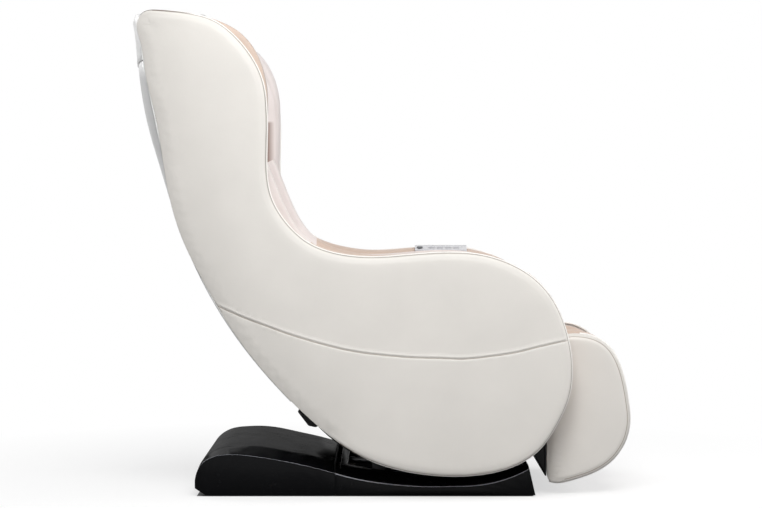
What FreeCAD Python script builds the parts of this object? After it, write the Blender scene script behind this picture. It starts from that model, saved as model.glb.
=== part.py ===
import FreeCAD, Part
import math
import os
import Sketcher
from FreeCAD import Placement, Rotation, Vector

# Massage chair, millimetres. It faces +X, +Y is its left side and +Z is up.
# The origin is on the floor, midway along the length and the width.

SIZES = [
    # side bodies, distances from the middle plane
    ("frame_half_width", 255.7),
    ("fit_gap", 0.3),
    ("wall_board", 6),
    ("band_width", 66),
    ("seam_width", 5),
    ("piping_radius", 2.4),
    ("panel_thickness", 17),
    # the arc that the back and the massage track follow
    ("arc_x", 750),
    ("arc_z", 1090),
    ("shell_radius", 1311),
    ("shell_wall", 4),
    ("track_inner", 1262),
    ("track_outer", 1290),
    ("track_flange", 1.7),
    ("track_out", 165),
    ("track_in", 143),
    ("track_top", 0.5),
    ("track_bottom", 35.4),
    ("wheel_side_gap", 2),
    ("carriage_park", 8),
    ("wheel_radius", 12),
    ("wheel_pitch_radius", 1276),
    ("knead_shaft_radius_from_centre", 1255),
    ("roller_radius", 30),
    ("shaft_radius", 7),
    ("running_gap", 0.05),
    # the recline cradle
    ("recline_x", 110),
    ("recline_z", 395),
    ("pan_inner", 300),
    ("pan_outer", 303),
    ("rail_lip", 354.3),
    ("rail_out", 185),
    ("rail_in", 157),
    ("rail_start", 224.6),
    ("rail_end", 293),
    ("cradle_roller", 14),
    ("cradle_pitch", 336),
    ("cradle_rear_angle", 250),
    ("cradle_front_angle", 290),
    ("cradle_shaft", 5),
    ("rod_radius", 7),
    ("recline_rod_z", 50),
    ("recline_pin_x", 42.94),
    ("pin_radius", 5),
    # seat
    ("seat_slope", 0.0768),
    ("seat_board_thickness", 12),
    ("seat_rail_height", 24),
    ("seat_rail_inner", 231),
    # leg rest
    ("leg_x", 392),
    ("leg_z", 338),
    ("leg_rod_z", 268),
    ("leg_pin_x", 336.3),
    ("leg_tube_radius", 11),
    ("leg_pin_radius", 8),
    ("leg_side_gap", 5.7),
    ("leg_panel_thickness", 18),
    ("leg_wall_width", 37),
    ("divider_half", 32),
    # base
    ("base_half_width", 275),
    ("deck_half_width", 232),
    ("cover_wall", 3.5),
    ("frame_bottom", 8),
    ("frame_height", 20),
    ("bracket_plane", 145),
    ("bracket_thickness", 6),
    ("caster_x", -394),
    ("caster_z", 24),
    ("caster_radius", 20),
    ("caster_axle", 4),
    # rear connection plate and arm controls
    ("plate_angle", 35),
    ("panel_tilt", 17),
    ("panel_middle_x", 148),
    ("panel_set_in", 18),
    ("panel_middle_z", 545),
    ("key_gap", 0.4),
]

document = FreeCAD.newDocument("MassageChair")
sheet = document.addObject("Spreadsheet::Sheet", "Sizes")
for row, (alias, number) in enumerate(SIZES, 1):
    sheet.set(f"A{row}", alias)
    sheet.set(f"B{row}", str(number))
    sheet.setAlias(f"B{row}", alias)
document.recompute()


class Size:
    """A number together with the sheet expression that gives it."""

    def __init__(self, value, text=None):
        self.value = float(value)
        self.text = text or repr(float(value))

    def __add__(self, other):
        other = sized(other)
        return Size(self.value + other.value, f"({self.text} + {other.text})")

    def __sub__(self, other):
        other = sized(other)
        return Size(self.value - other.value, f"({self.text} - {other.text})")

    def __mul__(self, other):
        other = sized(other)
        return Size(self.value * other.value, f"({self.text} * {other.text})")

    def __truediv__(self, other):
        other = sized(other)
        return Size(self.value / other.value, f"({self.text} / {other.text})")

    def __neg__(self):
        return Size(-self.value, f"(-{self.text})")

    def __rsub__(self, other):
        return sized(other) - self

    __radd__ = __add__


def sized(thing):
    return thing if isinstance(thing, Size) else Size(thing)


def of(alias):
    return Size(float(sheet.get(alias)), f"Sizes.{alias}")


def cosine(angle):
    angle = sized(angle)
    return Size(math.cos(math.radians(angle.value)), f"cos({angle.text})")


def sine(angle):
    angle = sized(angle)
    return Size(math.sin(math.radians(angle.value)), f"sin({angle.text})")


def bind(thing, prop, size):
    """Drive one property from the sheet."""
    thing.setExpression(prop, sized(size).text)


def wall_inner():
    """Inner face of the boards beside the seat."""
    return of("frame_half_width") + of("fit_gap")


def band_inner():
    return wall_inner() + of("wall_board")


def band_outer():
    return band_inner() + of("band_width")


def panel_back():
    return band_outer() + of("seam_width")


def shell_half():
    """Half width of the rear shell and cap, which fit between the outer panels."""
    return panel_back() - of("fit_gap")


def leg_half():
    return of("frame_half_width") - of("leg_side_gap")


def leg_panel_back():
    return leg_half() - of("leg_panel_thickness")


def leg_pad_outer():
    return leg_panel_back() - of("seam_width")


def leg_wall_inner():
    return leg_pad_outer() - of("leg_wall_width")


# Sketch and solid helpers

def body(name):
    made = document.addObject("PartDesign::Body", name)
    made.Label = name
    return made


def origin_plane(owner, role):
    return [f for f in owner.Origin.OriginFeatures if f.Role == role][0]


def sketch(owner, role, offset=0):
    """A sketch on an origin plane; XZ sketches face -Y, XY face +Z, YZ face +X."""
    made = owner.newObject("Sketcher::SketchObject", f"{owner.Name}_sketch")
    made.AttachmentSupport = [(origin_plane(owner, role), "")]
    made.MapMode = "FlatFace"
    distance = sized(offset)
    made.AttachmentOffset = Placement(Vector(0, 0, distance.value), Rotation())
    bind(made, "AttachmentOffset.Base.z", distance)
    return made


def pin_point(drawing, geometry, end, x, y):
    for kind, place in (("DistanceX", sized(x)), ("DistanceY", sized(y))):
        index = drawing.addConstraint(Sketcher.Constraint(kind, -1, 1, geometry, end, place.value))
        drawing.setExpression(f"Constraints[{index}]", place.text)


def polygon(drawing, points):
    """A closed outline of straight lines with every corner bound."""
    places = [(sized(x), sized(y)) for x, y in points]
    first = drawing.GeometryCount
    count = len(places)
    for index, (x, y) in enumerate(places):
        next_x, next_y = places[(index + 1) % count]
        start = Vector(x.value, y.value, 0)
        drawing.addGeometry(Part.LineSegment(start, Vector(next_x.value, next_y.value, 0)), False)
    for index, (x, y) in enumerate(places):
        after = first + (index + 1) % count
        drawing.addConstraint(Sketcher.Constraint("Coincident", first + index, 2, after, 1))
        pin_point(drawing, first + index, 1, x, y)
    return drawing


def rectangle(drawing, x0, y0, x1, y1):
    return polygon(drawing, [(x0, y0), (x1, y0), (x1, y1), (x0, y1)])


def circle(drawing, x, y, radius):
    x, y, radius = sized(x), sized(y), sized(radius)
    shape = Part.Circle(Vector(x.value, y.value, 0), Vector(0, 0, 1), radius.value)
    ring = drawing.addGeometry(shape, False)
    index = drawing.addConstraint(Sketcher.Constraint("Radius", ring, radius.value))
    drawing.setExpression(f"Constraints[{index}]", radius.text)
    pin_point(drawing, ring, 3, x, y)
    return drawing


def on_arc(x, y, radius, angle):
    return sized(x) + sized(radius) * cosine(angle), sized(y) + sized(radius) * sine(angle)


def arc_band(drawing, x, y, inner, outer, start, end):
    """A band between two arcs about (x, y); angles in degrees, counter-clockwise from +X."""
    first = drawing.GeometryCount
    corners = [on_arc(x, y, radius, angle) for radius, angle in
               ((outer, start), (outer, end), (inner, end), (inner, start))]
    middle = Vector(sized(x).value, sized(y).value, 0)
    turns = (math.radians(sized(start).value), math.radians(sized(end).value))
    flat = [Vector(px.value, py.value, 0) for px, py in corners]
    for radius in (outer, inner):
        ring = Part.Circle(middle, Vector(0, 0, 1), sized(radius).value)
        drawing.addGeometry(Part.ArcOfCircle(ring, turns[0], turns[1]), False)
    drawing.addGeometry(Part.LineSegment(flat[1], flat[2]), False)
    drawing.addGeometry(Part.LineSegment(flat[3], flat[0]), False)
    for pair in ((0, 2, 2, 1), (2, 2, 1, 2), (1, 1, 3, 1), (3, 2, 0, 1)):
        a, end_a, b, end_b = pair
        drawing.addConstraint(Sketcher.Constraint("Coincident", first + a, end_a, first + b, end_b))
    steep = abs(math.sin(turns[1])) > abs(math.cos(turns[1]))
    kind, part = ("DistanceX", 0) if steep else ("DistanceY", 1)
    for arc, begin, finish in ((0, corners[0], corners[1]), (1, corners[3], corners[2])):
        pin_point(drawing, first + arc, 3, x, y)
        pin_point(drawing, first + arc, 1, *begin)
        place = finish[part]
        index = drawing.addConstraint(Sketcher.Constraint(kind, -1, 1, first + arc, 2, place.value))
        drawing.setExpression(f"Constraints[{index}]", place.text)
    return drawing


def curve_through(points, closed):
    curve = Part.BSplineCurve()
    curve.interpolate([Vector(x, y, 0) for x, y in points], PeriodicFlag=closed)
    return curve


def loop(drawing, points):
    """A smooth closed outline through the points."""
    index = drawing.addGeometry(curve_through(points, True), False)
    drawing.addConstraint(Sketcher.Constraint("Block", index))
    return drawing


def outline(drawing, runs):
    """A closed outline of runs; a run of two points is straight, a longer one is smooth."""
    first = drawing.GeometryCount
    for points in runs:
        if len(points) == 2:
            drawing.addGeometry(Part.LineSegment(Vector(*points[0], 0), Vector(*points[1], 0)), False)
        else:
            drawing.addGeometry(curve_through(points, False), False)
    for index in range(len(runs)):
        after = first + (index + 1) % len(runs)
        drawing.addConstraint(Sketcher.Constraint("Coincident", first + index, 2, after, 1))
        drawing.addConstraint(Sketcher.Constraint("Block", first + index))
    return drawing


def feature(owner, kind, profile, **values):
    made = owner.newObject(f"PartDesign::{kind}", f"{owner.Name}_{kind.lower()}")
    made.Profile = profile
    for prop, value in values.items():
        if isinstance(value, (Size, float, int)) and not isinstance(value, bool):
            setattr(made, prop, sized(value).value)
            bind(made, prop, value)
        else:
            setattr(made, prop, value)
    return made


def slab(owner, low, high, draw, cut=False):
    """A side-view profile given thickness between two Y planes."""
    profile = sketch(owner, "XZ_Plane", -sized(high))
    draw(profile)
    kind = "Pocket" if cut else "Pad"
    return feature(owner, kind, profile, Length=sized(high) - sized(low), Reversed=cut)


def plate(owner, low, high, draw, cut=False):
    """A top-view profile given thickness between two Z planes."""
    profile = sketch(owner, "XY_Plane", low)
    draw(profile)
    kind = "Pocket" if cut else "Pad"
    return feature(owner, kind, profile, Length=sized(high) - sized(low), Reversed=cut)


def lofted(name, sections, ruled=True):
    """A solid through side-view sections, each a Y plane and a drawing function."""
    owner = body(name)
    drawn = []
    for plane, draw in sections:
        profile = sketch(owner, "XZ_Plane", -sized(plane))
        draw(profile)
        drawn.append(profile)
    made = feature(owner, "AdditiveLoft", drawn[0])
    made.Sections = drawn[1:]
    made.Ruled = ruled
    return owner


def box(name, low, high):
    """A block between two corners, each a triple of sizes."""
    made = document.addObject("Part::Box", name)
    made.Label = name
    for prop, axis, index in (("Length", "x", 0), ("Width", "y", 1), ("Height", "z", 2)):
        span = sized(high[index]) - sized(low[index])
        setattr(made, prop, span.value)
        bind(made, prop, span)
        bind(made, f"Placement.Base.{axis}", low[index])
    return made


def rod(name, start, direction, length, radius):
    """A round bar from a point along X, Y or Z."""
    made = document.addObject("Part::Cylinder", name)
    made.Label = name
    turn = {"X": Rotation(Vector(0, 1, 0), 90), "Y": Rotation(Vector(1, 0, 0), -90), "Z": Rotation()}
    made.Placement = Placement(Vector(0, 0, 0), turn[direction])
    for axis, place in zip("xyz", start):
        bind(made, f"Placement.Base.{axis}", place)
    for prop, size in (("Radius", radius), ("Height", length)):
        setattr(made, prop, sized(size).value)
        bind(made, prop, size)
    return made


def joined(name, pieces):
    made = document.addObject("Part::MultiFuse", name)
    made.Shapes = pieces
    made.Label = name
    return made


def without(name, base, tools):
    made = document.addObject("Part::Cut", name)
    made.Base = base
    made.Tool = tools[0] if len(tools) == 1 else joined(f"{name}_cutters", tools)
    made.Label = name
    return made


def group(name, pieces):
    """Separate solids kept in one node."""
    made = document.addObject("Part::Compound", name)
    made.Links = pieces
    made.Label = name
    return made


def mirrored(name, source):
    """The same piece on the chair's left side."""
    made = document.addObject("Part::Mirroring", name)
    made.Source = source
    made.Normal = Vector(0, 1, 0)
    made.Base = Vector(0, 0, 0)
    made.Label = name
    return made


def swing(thing, x, z, angle):
    """Turn a piece about a Y axis through (x, z), from +X towards +Z, by a bound angle."""
    x, z, angle = sized(x), sized(z), sized(angle)
    turn = Rotation(Vector(0, -1, 0), angle.value)
    thing.Placement = Placement(Vector(0, 0, 0), turn, Vector(x.value, 0, z.value))
    bind(thing, "Placement.Rotation.Angle", angle)
    bind(thing, "Placement.Base.x", x - (x * cosine(angle) - z * sine(angle)))
    bind(thing, "Placement.Base.z", z - (x * sine(angle) + z * cosine(angle)))
    return thing


# Outline of the side bodies

# Each point: x, z and, for the rear zone, the shift to the flat of the face and how much of a
# rear point it is. Front points are shifted by FRONT_ROUND along their inward normal.
FRONT_ROUND = 26
SIDE_OUTLINE = [
    (-533, 1066, 115, -28, 1.0), (-521, 1077, 113, -31, 0.8), (-486, 1080, 90, -28, 0.5),
    (-420, 1073, 40, -26, 0.2), (-365, 1056, 0, 0, 0), (-321, 1022, 0, 0, 0),
    (-285, 977, 0, 0, 0), (-260, 921, 0, 0, 0), (-253, 872, 0, 0, 0),
    (-252, 800, 0, 0, 0), (-253, 735, 0, 0, 0), (-242, 668, 0, 0, 0),
    (-209, 612, 0, 0, 0), (-160, 568, 0, 0, 0), (-90, 543, 0, 0, 0),
    (-10, 537, 0, 0, 0), (74, 543, 0, 0, 0), (150, 547, 0, 0, 0),
    (220, 542, 0, 0, 0), (285, 522, 0, 0, 0), (340, 488, 0, 0, 0),
    (382, 438, 0, 0, 0), (411, 365, 0, 0, 0), (422, 290, 0, 0, 0),
    (414, 225, 0, 0, 0), (388, 166, 0, 0, 0), (346, 108, 0, 0, 0),
    (296, 76, 0, 0, 0), (230, 58, 0, 0, 0), (157, 53, 0, 0, 0),
    (90, 58, 4, 34, 0.1), (18, 73, 14, 46, 0.3), (-55, 102, 34, 62, 0.6),
    (-142, 165, 60, 70, 0.9), (-245, 267, 80, 66, 1.0), (-321, 364, 90, 56, 1.0),
    (-385, 470, 96, 44, 1.0), (-438, 575, 99, 34, 1.0), (-466, 665, 102, 25, 1.0),
    (-482, 754, 103, 18, 1.0), (-500, 861, 104, 10, 1.0), (-519, 938, 105, 0, 1.0),
    (-530, 1010, 108, -14, 1.0),
]


def inward(points, index):
    """Unit normal to the outline at a point, pointing into it."""
    before = points[index - 1]
    after = points[(index + 1) % len(points)]
    along = Vector(after[0] - before[0], after[1] - before[1], 0)
    along.normalize()
    return along.y, -along.x


def side_inset(distance):
    """The side outline drawn in by one distance all round; a deep one leaves out tight corner points."""
    moved = []
    for index, point in enumerate(SIDE_OUTLINE):
        if distance > 12 and index in (0, 2):
            continue
        nx, nz = inward(SIDE_OUTLINE, index)
        moved.append((point[0] + nx * distance, point[1] + nz * distance))
    return moved


def side_face_section(front_part, rear_part):
    """The side outline part way to the flat of the outer face."""
    moved = []
    for index, (x, z, dx, dz, rear) in enumerate(SIDE_OUTLINE):
        if rear == 0:
            nx, nz = inward(SIDE_OUTLINE, index)
            dx, dz = nx * FRONT_ROUND, nz * FRONT_ROUND
        part = (1 - rear) * front_part + rear * rear_part
        moved.append((x + dx * part, z + dz * part))
    return moved


def side_panel():
    """Upholstered outer panel, crowned, with a wide rounding towards the rear."""
    back = panel_back()
    depth = of("panel_thickness")
    levels = [(0, 0, 0), (0.35, 0.02, 0.19), (0.62, 0.1, 0.38), (0.85, 0.3, 0.62), (1, 1, 1)]
    sections = []
    for level, front_part, rear_part in levels:
        points = side_face_section(front_part, rear_part)
        sections.append((-(back + depth * level), lambda drawing, p=points: loop(drawing, p)))
    return lofted("right_side_panel", sections)


BAND_FIRST, BAND_LAST = 2, 31
# how far the padded edge stands beyond the outline, at a few points along it
BAND_PROUD = {2: 1, 3: 4, 4: 8, 5: 19, 6: 18, 7: 9, 8: 3, 9: 1, 10: 1, 11: 1, 12: 1.5, 13: 3,
              14: 4, 15: 2, 16: 1.5, 17: 1.5, 18: 2, 19: 5, 20: 7, 21: 5, 22: 2}
BAND_DEPTH = 22


def band_points(outset):
    """Points along the band, moved out from the outline by its proud height plus outset."""
    points = []
    for index in range(BAND_FIRST, BAND_LAST + 1):
        nx, nz = inward(SIDE_OUTLINE, index)
        distance = BAND_PROUD.get(index, 1) + outset
        points.append((SIDE_OUTLINE[index][0] - nx * distance, SIDE_OUTLINE[index][1] - nz * distance))
    return points


def inset_run(distance):
    points = []
    for index in range(BAND_FIRST, BAND_LAST + 1):
        nx, nz = inward(SIDE_OUTLINE, index)
        points.append((SIDE_OUTLINE[index][0] + nx * distance, SIDE_OUTLINE[index][1] + nz * distance))
    return points


def strip(drawing, outer, inner):
    """A closed strip between two smooth runs that start and end at the same sides."""
    back = list(reversed(inner))
    return outline(drawing, [outer, [outer[-1], back[0]], back, [back[-1], outer[0]]])


def edge_band():
    """Padded band round the front, top and arm edge of a side body."""
    outer = band_outer()
    width = of("band_width")
    levels = [(0, -5), (0.08, -1.5), (0.3, 0), (0.62, -1.5), (0.85, -6), (1, -14)]
    sections = []
    for level, crown in levels:
        proud = band_points(crown)
        inner = inset_run(BAND_DEPTH)
        sections.append((-(outer - width * level), lambda d, a=proud, b=inner: strip(d, a, b)))
    return lofted("right_edge_band", sections)


def edge_piping():
    """Sewn cord in the seam between the outer panel and the band."""
    owner = body("right_side_piping")
    plane = band_outer() + of("seam_width") * 0.5
    path = sketch(owner, "XZ_Plane", plane)
    run = inset_run(-0.5)[1:]
    path.addGeometry(curve_through(run, False), False)
    path.addConstraint(Sketcher.Constraint("Block", 0))
    profile = sketch(owner, "YZ_Plane", run[0][0])
    circle(profile, -plane, run[0][1], of("piping_radius"))
    made = feature(owner, "AdditivePipe", profile)
    made.Spine = path
    return owner


def side_frame():
    """Plywood ring with cross ribs inside a side body, between the panel and the inner wall."""
    ring = body("right_side_ring")
    low, high = -panel_back(), -band_inner()
    slab(ring, low, high, lambda d: loop(loop(d, side_inset(22.6)), side_inset(40)))
    ribs = [[(-447, 700), (-447, 716), (-285, 716), (-285, 700)],
            [(-300, 395), (-286, 387), (-190, 555), (-204, 563)],
            [(-30, 120), (-14, 116), (30, 499), (14, 501)],
            [(250, 108), (264, 114), (224, 502), (208, 500)]]
    pieces = [ring]
    for number, corners in enumerate(ribs):
        rib = body(f"right_side_rib_{number}")
        slab(rib, low, high, lambda d: polygon(d, corners))
        pieces.append(rib)
    return joined("right_side_frame", pieces)


def inner_wall():
    """Lined board that closes the side body towards the seat."""
    owner = body("right_inner_wall")
    slab(owner, -band_inner(), -wall_inner(), lambda d: loop(d, side_inset(7)))
    return owner


# matching places on the front and rear edge of the arm pad
BOLSTER_FRONT = [(-267, 766), (-249, 726), (-234, 688), (-214, 643), (-187, 602), (-150, 572),
                 (-103, 553), (-50, 541), (20, 538), (90, 541), (150, 544), (210, 539), (262, 524),
                 (305, 500), (335, 466)]
BOLSTER_REAR = [(-296, 752), (-290, 706), (-274, 660), (-253, 612), (-228, 560), (-196, 505),
                (-158, 450), (-105, 408), (-20, 402), (70, 405), (150, 407), (215, 410), (268, 412),
                (305, 414), (333, 420)]


def bolster():
    """Soft pad along the arm and up to the waist, on the inner wall."""
    wall = wall_inner()
    sections = []
    for depth, part in ((0.3, 0.04), (8, 0.01), (24, 0), (36, 0.04), (43, 0.14)):
        front = []
        rear = []
        for (fx, fz), (rx, rz) in zip(BOLSTER_FRONT, BOLSTER_REAR):
            front.append((fx + (rx - fx) * part, fz + (rz - fz) * part))
            rear.append((rx + (fx - rx) * part, rz + (fz - rz) * part))
        sections.append((-(wall - depth), lambda d, a=front, b=rear: strip(d, a, b)))
    return lofted("right_bolster", sections)


# Back shell, cap and cushion

def rear_edge_radius(angle):
    """Distance of the side panel's rear edge from the arc centre, by angle below level."""
    known = [(0, 1287), (3, 1285), (6.9, 1280), (10.5, 1274), (15.3, 1277), (20.5, 1288),
             (27, 1297), (34, 1297), (40, 1293), (44, 1290)]
    for (a0, r0), (a1, r1) in zip(known, known[1:]):
        if angle <= a1:
            return r0 + (r1 - r0) * (angle - a0) / (a1 - a0)
    return known[-1][1]


def arc_point(radius, angle):
    turn = math.radians(angle)
    return of("arc_x").value - radius * math.cos(turn), of("arc_z").value - radius * math.sin(turn)


# places across the rear shell and cap, as parts of their half width, and the fullness of the bow
SHELL_ACROSS = (-1, -0.95, -0.9, -0.79, -0.66, -0.33, 0, 0.33, 0.66, 0.79, 0.9, 0.95, 1)
SHELL_BOW = 2.4
SHELL_TUCK = 1
# angle below level, and how far the middle of the shell lies beyond its radius there
SHELL_MIDDLE = ((5.35, 4.7), (9, 5.3), (13, 1.5), (17, -3.5), (21, -4), (25, -1), (29, 0), (33, 0),
                (37, -2), (40, -5), (42.6, -8))


def shell_radius_at(across, angle, beyond):
    """Outer radius of the back shell at a part of its half width."""
    middle = of("shell_radius").value + beyond
    edge = rear_edge_radius(angle) - SHELL_TUCK
    return edge + (middle - edge) * (1 - abs(across) ** SHELL_BOW)


def back_shell():
    """Moulded rear shell, bowed across and curved up the back, with two cut-outs."""
    wall = of("shell_wall").value
    sections = []
    for across in SHELL_ACROSS:
        radii = [(shell_radius_at(across, angle, beyond), angle) for angle, beyond in SHELL_MIDDLE]
        outer = [arc_point(radius, angle) for radius, angle in radii]
        inner = [arc_point(radius - wall, angle) for radius, angle in radii]
        sections.append((shell_half() * across, lambda d, a=outer, b=inner: strip(d, a, b)))
    shell = lofted("back_shell_blank", sections)
    centre = (of("arc_x"), of("arc_z"))
    low, high = 1300, 1340
    cutters = []
    for name, angle, half_tall, half_wide in (("inlet_window", of("plate_angle"), 17.3, 46.3),
                                             ("vent_window", 12.4, 23.3, 80.3)):
        cutter = box(name, (centre[0] - high, -half_wide, centre[1] - half_tall),
                     (centre[0] - low, half_wide, centre[1] + half_tall))
        cutters.append(turned_group(name, cutter, angle))
    return without("back_shell", shell, cutters)


def turned_group(name, piece, angle):
    """A piece built level with the arc centre, swung down the arc by an angle."""
    held = document.addObject("Part::Compound", f"{name}_on_arc")
    held.Links = [piece]
    return swing(held, of("arc_x"), of("arc_z"), angle)


def back_vent():
    """Louvred black insert in the upper back shell."""
    owner = body("back_vent")
    outer = of("arc_x") - of("shell_radius") - 0.5
    slats = sketch(owner, "YZ_Plane", outer)
    rectangle(slats, -80, of("arc_z") - 23, 80, of("arc_z") + 23)
    for step in range(5):
        middle = of("arc_z") - 16 + step * 8
        rectangle(slats, -70, middle - 1.8, 70, middle + 1.8)
    feature(owner, "Pad", slats, Length=5)
    return swing(owner, of("arc_x"), of("arc_z"), 12.4)


# middle and edge outlines of the cap, and how fully each place keeps its middle place across
CAP_MIDDLE = [(-562, 968), (-563.5, 993), (-567, 1030), (-571.5, 1060), (-573, 1076), (-567, 1086),
              (-545, 1091), (-508, 1093.5), (-455, 1092), (-418, 1087), (-394, 1081)]
CAP_EDGE = [(-526.5, 971.2), (-528, 993), (-531.5, 1030), (-532.5, 1050), (-532, 1060), (-529, 1066.5),
            (-524, 1071.5), (-515, 1075.5), (-505, 1077.5), (-497, 1078.5), (-489.5, 1078.8)]
CAP_BOW = (2.4, 2.4, 2.4, 2.4, 2.4, 2.4, 3, 4, 6, 8, 8)
CAP_ACROSS = (-1, -0.95, -0.9, -0.79, -0.76, -0.66, -0.33, 0, 0.33, 0.66, 0.76, 0.79, 0.9, 0.95, 1)
CAP_WALL = 4
CAP_SEAT = 9


def top_cap():
    """Moulded cap that closes the back at the top and sits on the shell's upper edge."""
    sections = []
    for across in CAP_ACROSS:
        outer = []
        for index, ((mx, mz), (ex, ez), bow) in enumerate(zip(CAP_MIDDLE, CAP_EDGE, CAP_BOW)):
            over_band = index > 6 and abs(across) > 0.77
            forward = 0 if over_band else 1 - abs(across) ** bow
            raised = 1 - abs(across) ** SHELL_BOW
            outer.append((ex + (mx - ex) * forward, ez + (mz - ez) * raised))
        inner = [(outer[0][0] + CAP_SEAT, outer[0][1])]
        for index in range(1, len(outer)):
            before = outer[index - 1]
            after = outer[min(index + 1, len(outer) - 1)]
            along = Vector(after[0] - before[0], after[1] - before[1], 0)
            along.normalize()
            inner.append((outer[index][0] + along.y * CAP_WALL, outer[index][1] - along.x * CAP_WALL))
        sections.append((shell_half() * across, lambda d, a=outer, b=inner: strip(d, a, b)))
    return lofted("top_cap", sections)


CUSHION_ROUND = 14


def cushion_section(front, back, top, bottom, inset):
    """Side-view section of the back cushion between two angles; its front hangs lower."""
    front_run = []
    back_run = []
    for step in range(7):
        angle = top + (bottom - top) * step / 6
        front_run.append(arc_point(front, angle + 0.8 * step / 6))
        back_run.append(arc_point(back, angle))
    front_run[0] = arc_point(front + CUSHION_ROUND, top + inset)
    front_run[-1] = arc_point(front + CUSHION_ROUND, bottom + 0.8 - inset)
    back_run[0] = arc_point(back, top + inset)
    back_run[-1] = arc_point(back, bottom - inset)
    return front_run, back_run


def back_cushion():
    """Soft back rest, crowned across, that the massage rollers press from behind."""
    half = of("frame_half_width") - 1.7
    sections = []
    for across, front, inset in ((-1, 1146, 0.5), (-0.97, 1132, 0.15), (-0.85, 1124, 0),
                                 (-0.43, 1117, 0), (0, 1115, 0), (0.43, 1117, 0), (0.85, 1124, 0),
                                 (0.97, 1132, 0.15), (1, 1146, 0.5)):
        runs = cushion_section(front, 1165, 1, 38.6, inset)
        sections.append((half * across, lambda d, r=runs: strip(d, r[0], r[1])))
    return lofted("back_cushion", sections)


def back_cushion_rails():
    """Two curved plywood strips behind the edges of the back cushion."""
    rails = []
    half = of("frame_half_width")
    arc = (of("arc_x"), of("arc_z"))
    for side, low, high in (("right", -half, 50 - half), ("left", half - 50, half)):
        owner = body(f"back_strip_{side}")
        slab(owner, low, high, lambda d: arc_band(d, *arc, 1165.3, 1178, 183, 217))
        rails.append(owner)
    return group("back_cushion_rails", rails)


# Massage track and carriage

def track_rails():
    """Two curved C channels that guide the carriage, with ties to the side bodies."""
    inner, outer = of("track_inner"), of("track_outer")
    flange = of("track_flange")
    start, end = of("track_top") + 180, of("track_bottom") + 180
    arc = (of("arc_x"), of("arc_z"))
    rails = body("right_track_channel")
    slab(rails, -of("track_out"), -of("track_in"),
         lambda d: arc_band(d, *arc, inner, outer, start, end))
    slab(rails, -of("track_out") + 3, -of("track_in") + 1,
         lambda d: arc_band(d, *arc, inner + flange, outer - flange, start - 1, end + 1), cut=True)
    ties = []
    for number, angle in enumerate((184, 199, 213)):
        x, z = on_arc(*arc, 1276, angle)
        ties.append(rod(f"track_tie_{number}", (x, -of("frame_half_width"), z), "Y",
                        of("frame_half_width") - of("track_out") + 0.5, 9))
    right = joined("right_track", [rails] + ties)
    left = mirrored("left_track", right)
    cross = []
    for number, angle in enumerate((181, 214.9)):
        x, z = on_arc(*arc, 1276, angle)
        cross.append(rod(f"track_cross_{number}", (x, -of("track_out") + 1, z), "Y",
                         of("track_out") * 2 - 2, 10))
    return joined("massage_track", [right, left] + cross)


def at_arc(radius, height=0):
    """A place level with the arc centre: distance out, then height above it."""
    return of("arc_x") - radius, of("arc_z") + height


def on_track(thing):
    return swing(thing, of("arc_x"), of("arc_z"), of("carriage_park"))


def guide_height():
    return 70


def guide_x():
    pitch = of("wheel_pitch_radius").value
    return of("arc_x") - math.sqrt(pitch ** 2 - guide_height() ** 2)


def carriage_frame():
    """Two steel side plates and two bars that hold the massage head."""
    owner = body("carriage_frame")
    shaft_x, shaft_z = at_arc(of("knead_shaft_radius_from_centre"))
    bore = of("shaft_radius") + of("running_gap")
    axle = 6 + of("running_gap")
    corners = [at_arc(1242, -30), at_arc(1262, -88), at_arc(1295, -88), at_arc(1298, 0),
               at_arc(1295, 88), at_arc(1262, 88), at_arc(1242, 30)]

    def side(drawing):
        polygon(drawing, corners)
        circle(drawing, shaft_x, shaft_z, bore)
        for height in (guide_height(), -guide_height()):
            circle(drawing, guide_x(), shaft_z + height, axle)

    for low, high in ((-100, -96), (96, 100)):
        slab(owner, low, high, side)
    for height in (30, -50):
        slab(owner, -96, 96, lambda d, h=height: rectangle(
            d, of("arc_x") - 1298, shaft_z + h - 8, of("arc_x") - 1294, shaft_z + h + 8))
    return on_track(owner)


def guide_axle(name, height):
    """Cross axle with a guide wheel at each end."""
    owner = body(name)
    wheel = of("wheel_radius")
    outer = of("track_out") - of("wheel_side_gap") - 3
    inner = outer - 13
    profile = [(0, -outer), (wheel, -outer), (wheel, -inner), (6, -inner), (6, inner), (wheel, inner),
               (wheel, outer), (0, outer)]
    drawing = sketch(owner, "XY_Plane", of("arc_z") + height)
    polygon(drawing, [(guide_x() + x, y) for x, y in profile])
    line = drawing.addGeometry(Part.LineSegment(Vector(guide_x().value, -200, 0),
                                                Vector(guide_x().value, 200, 0)), True)
    pin_point(drawing, line, 1, guide_x(), -200)
    pin_point(drawing, line, 2, guide_x(), 200)
    made = feature(owner, "Revolution", drawing, Angle=360)
    made.ReferenceAxis = (drawing, ["Axis0"])
    return on_track(owner)


def knead_shaft():
    owner = body("knead_shaft")
    x, z = at_arc(of("knead_shaft_radius_from_centre"))
    slab(owner, -106, 106, lambda d: circle(d, x, z, of("shaft_radius")))
    return on_track(owner)


def massage_arm(name, low, high):
    """Rocking arm that carries an upper and a lower roller head."""
    owner = body(name)
    x, z = at_arc(of("knead_shaft_radius_from_centre"))
    roller_x = of("arc_x") - 1212

    def side(drawing):
        front = roller_x + 10
        polygon(drawing, [(x - 14, z - 16), (x + 4, z - 18), (roller_x - 2, z - 60), (front, z - 54),
                          (front, z - 42), (x + 16, z), (front, z + 42), (front, z + 54),
                          (roller_x - 2, z + 60), (x + 4, z + 18), (x - 14, z + 16)])
        circle(drawing, x, z, of("shaft_radius") + of("running_gap"))
        for height in (-48, 48):
            circle(drawing, roller_x, z + height, 4 + of("running_gap"))

    slab(owner, low, high, side)
    return on_track(owner)


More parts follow.
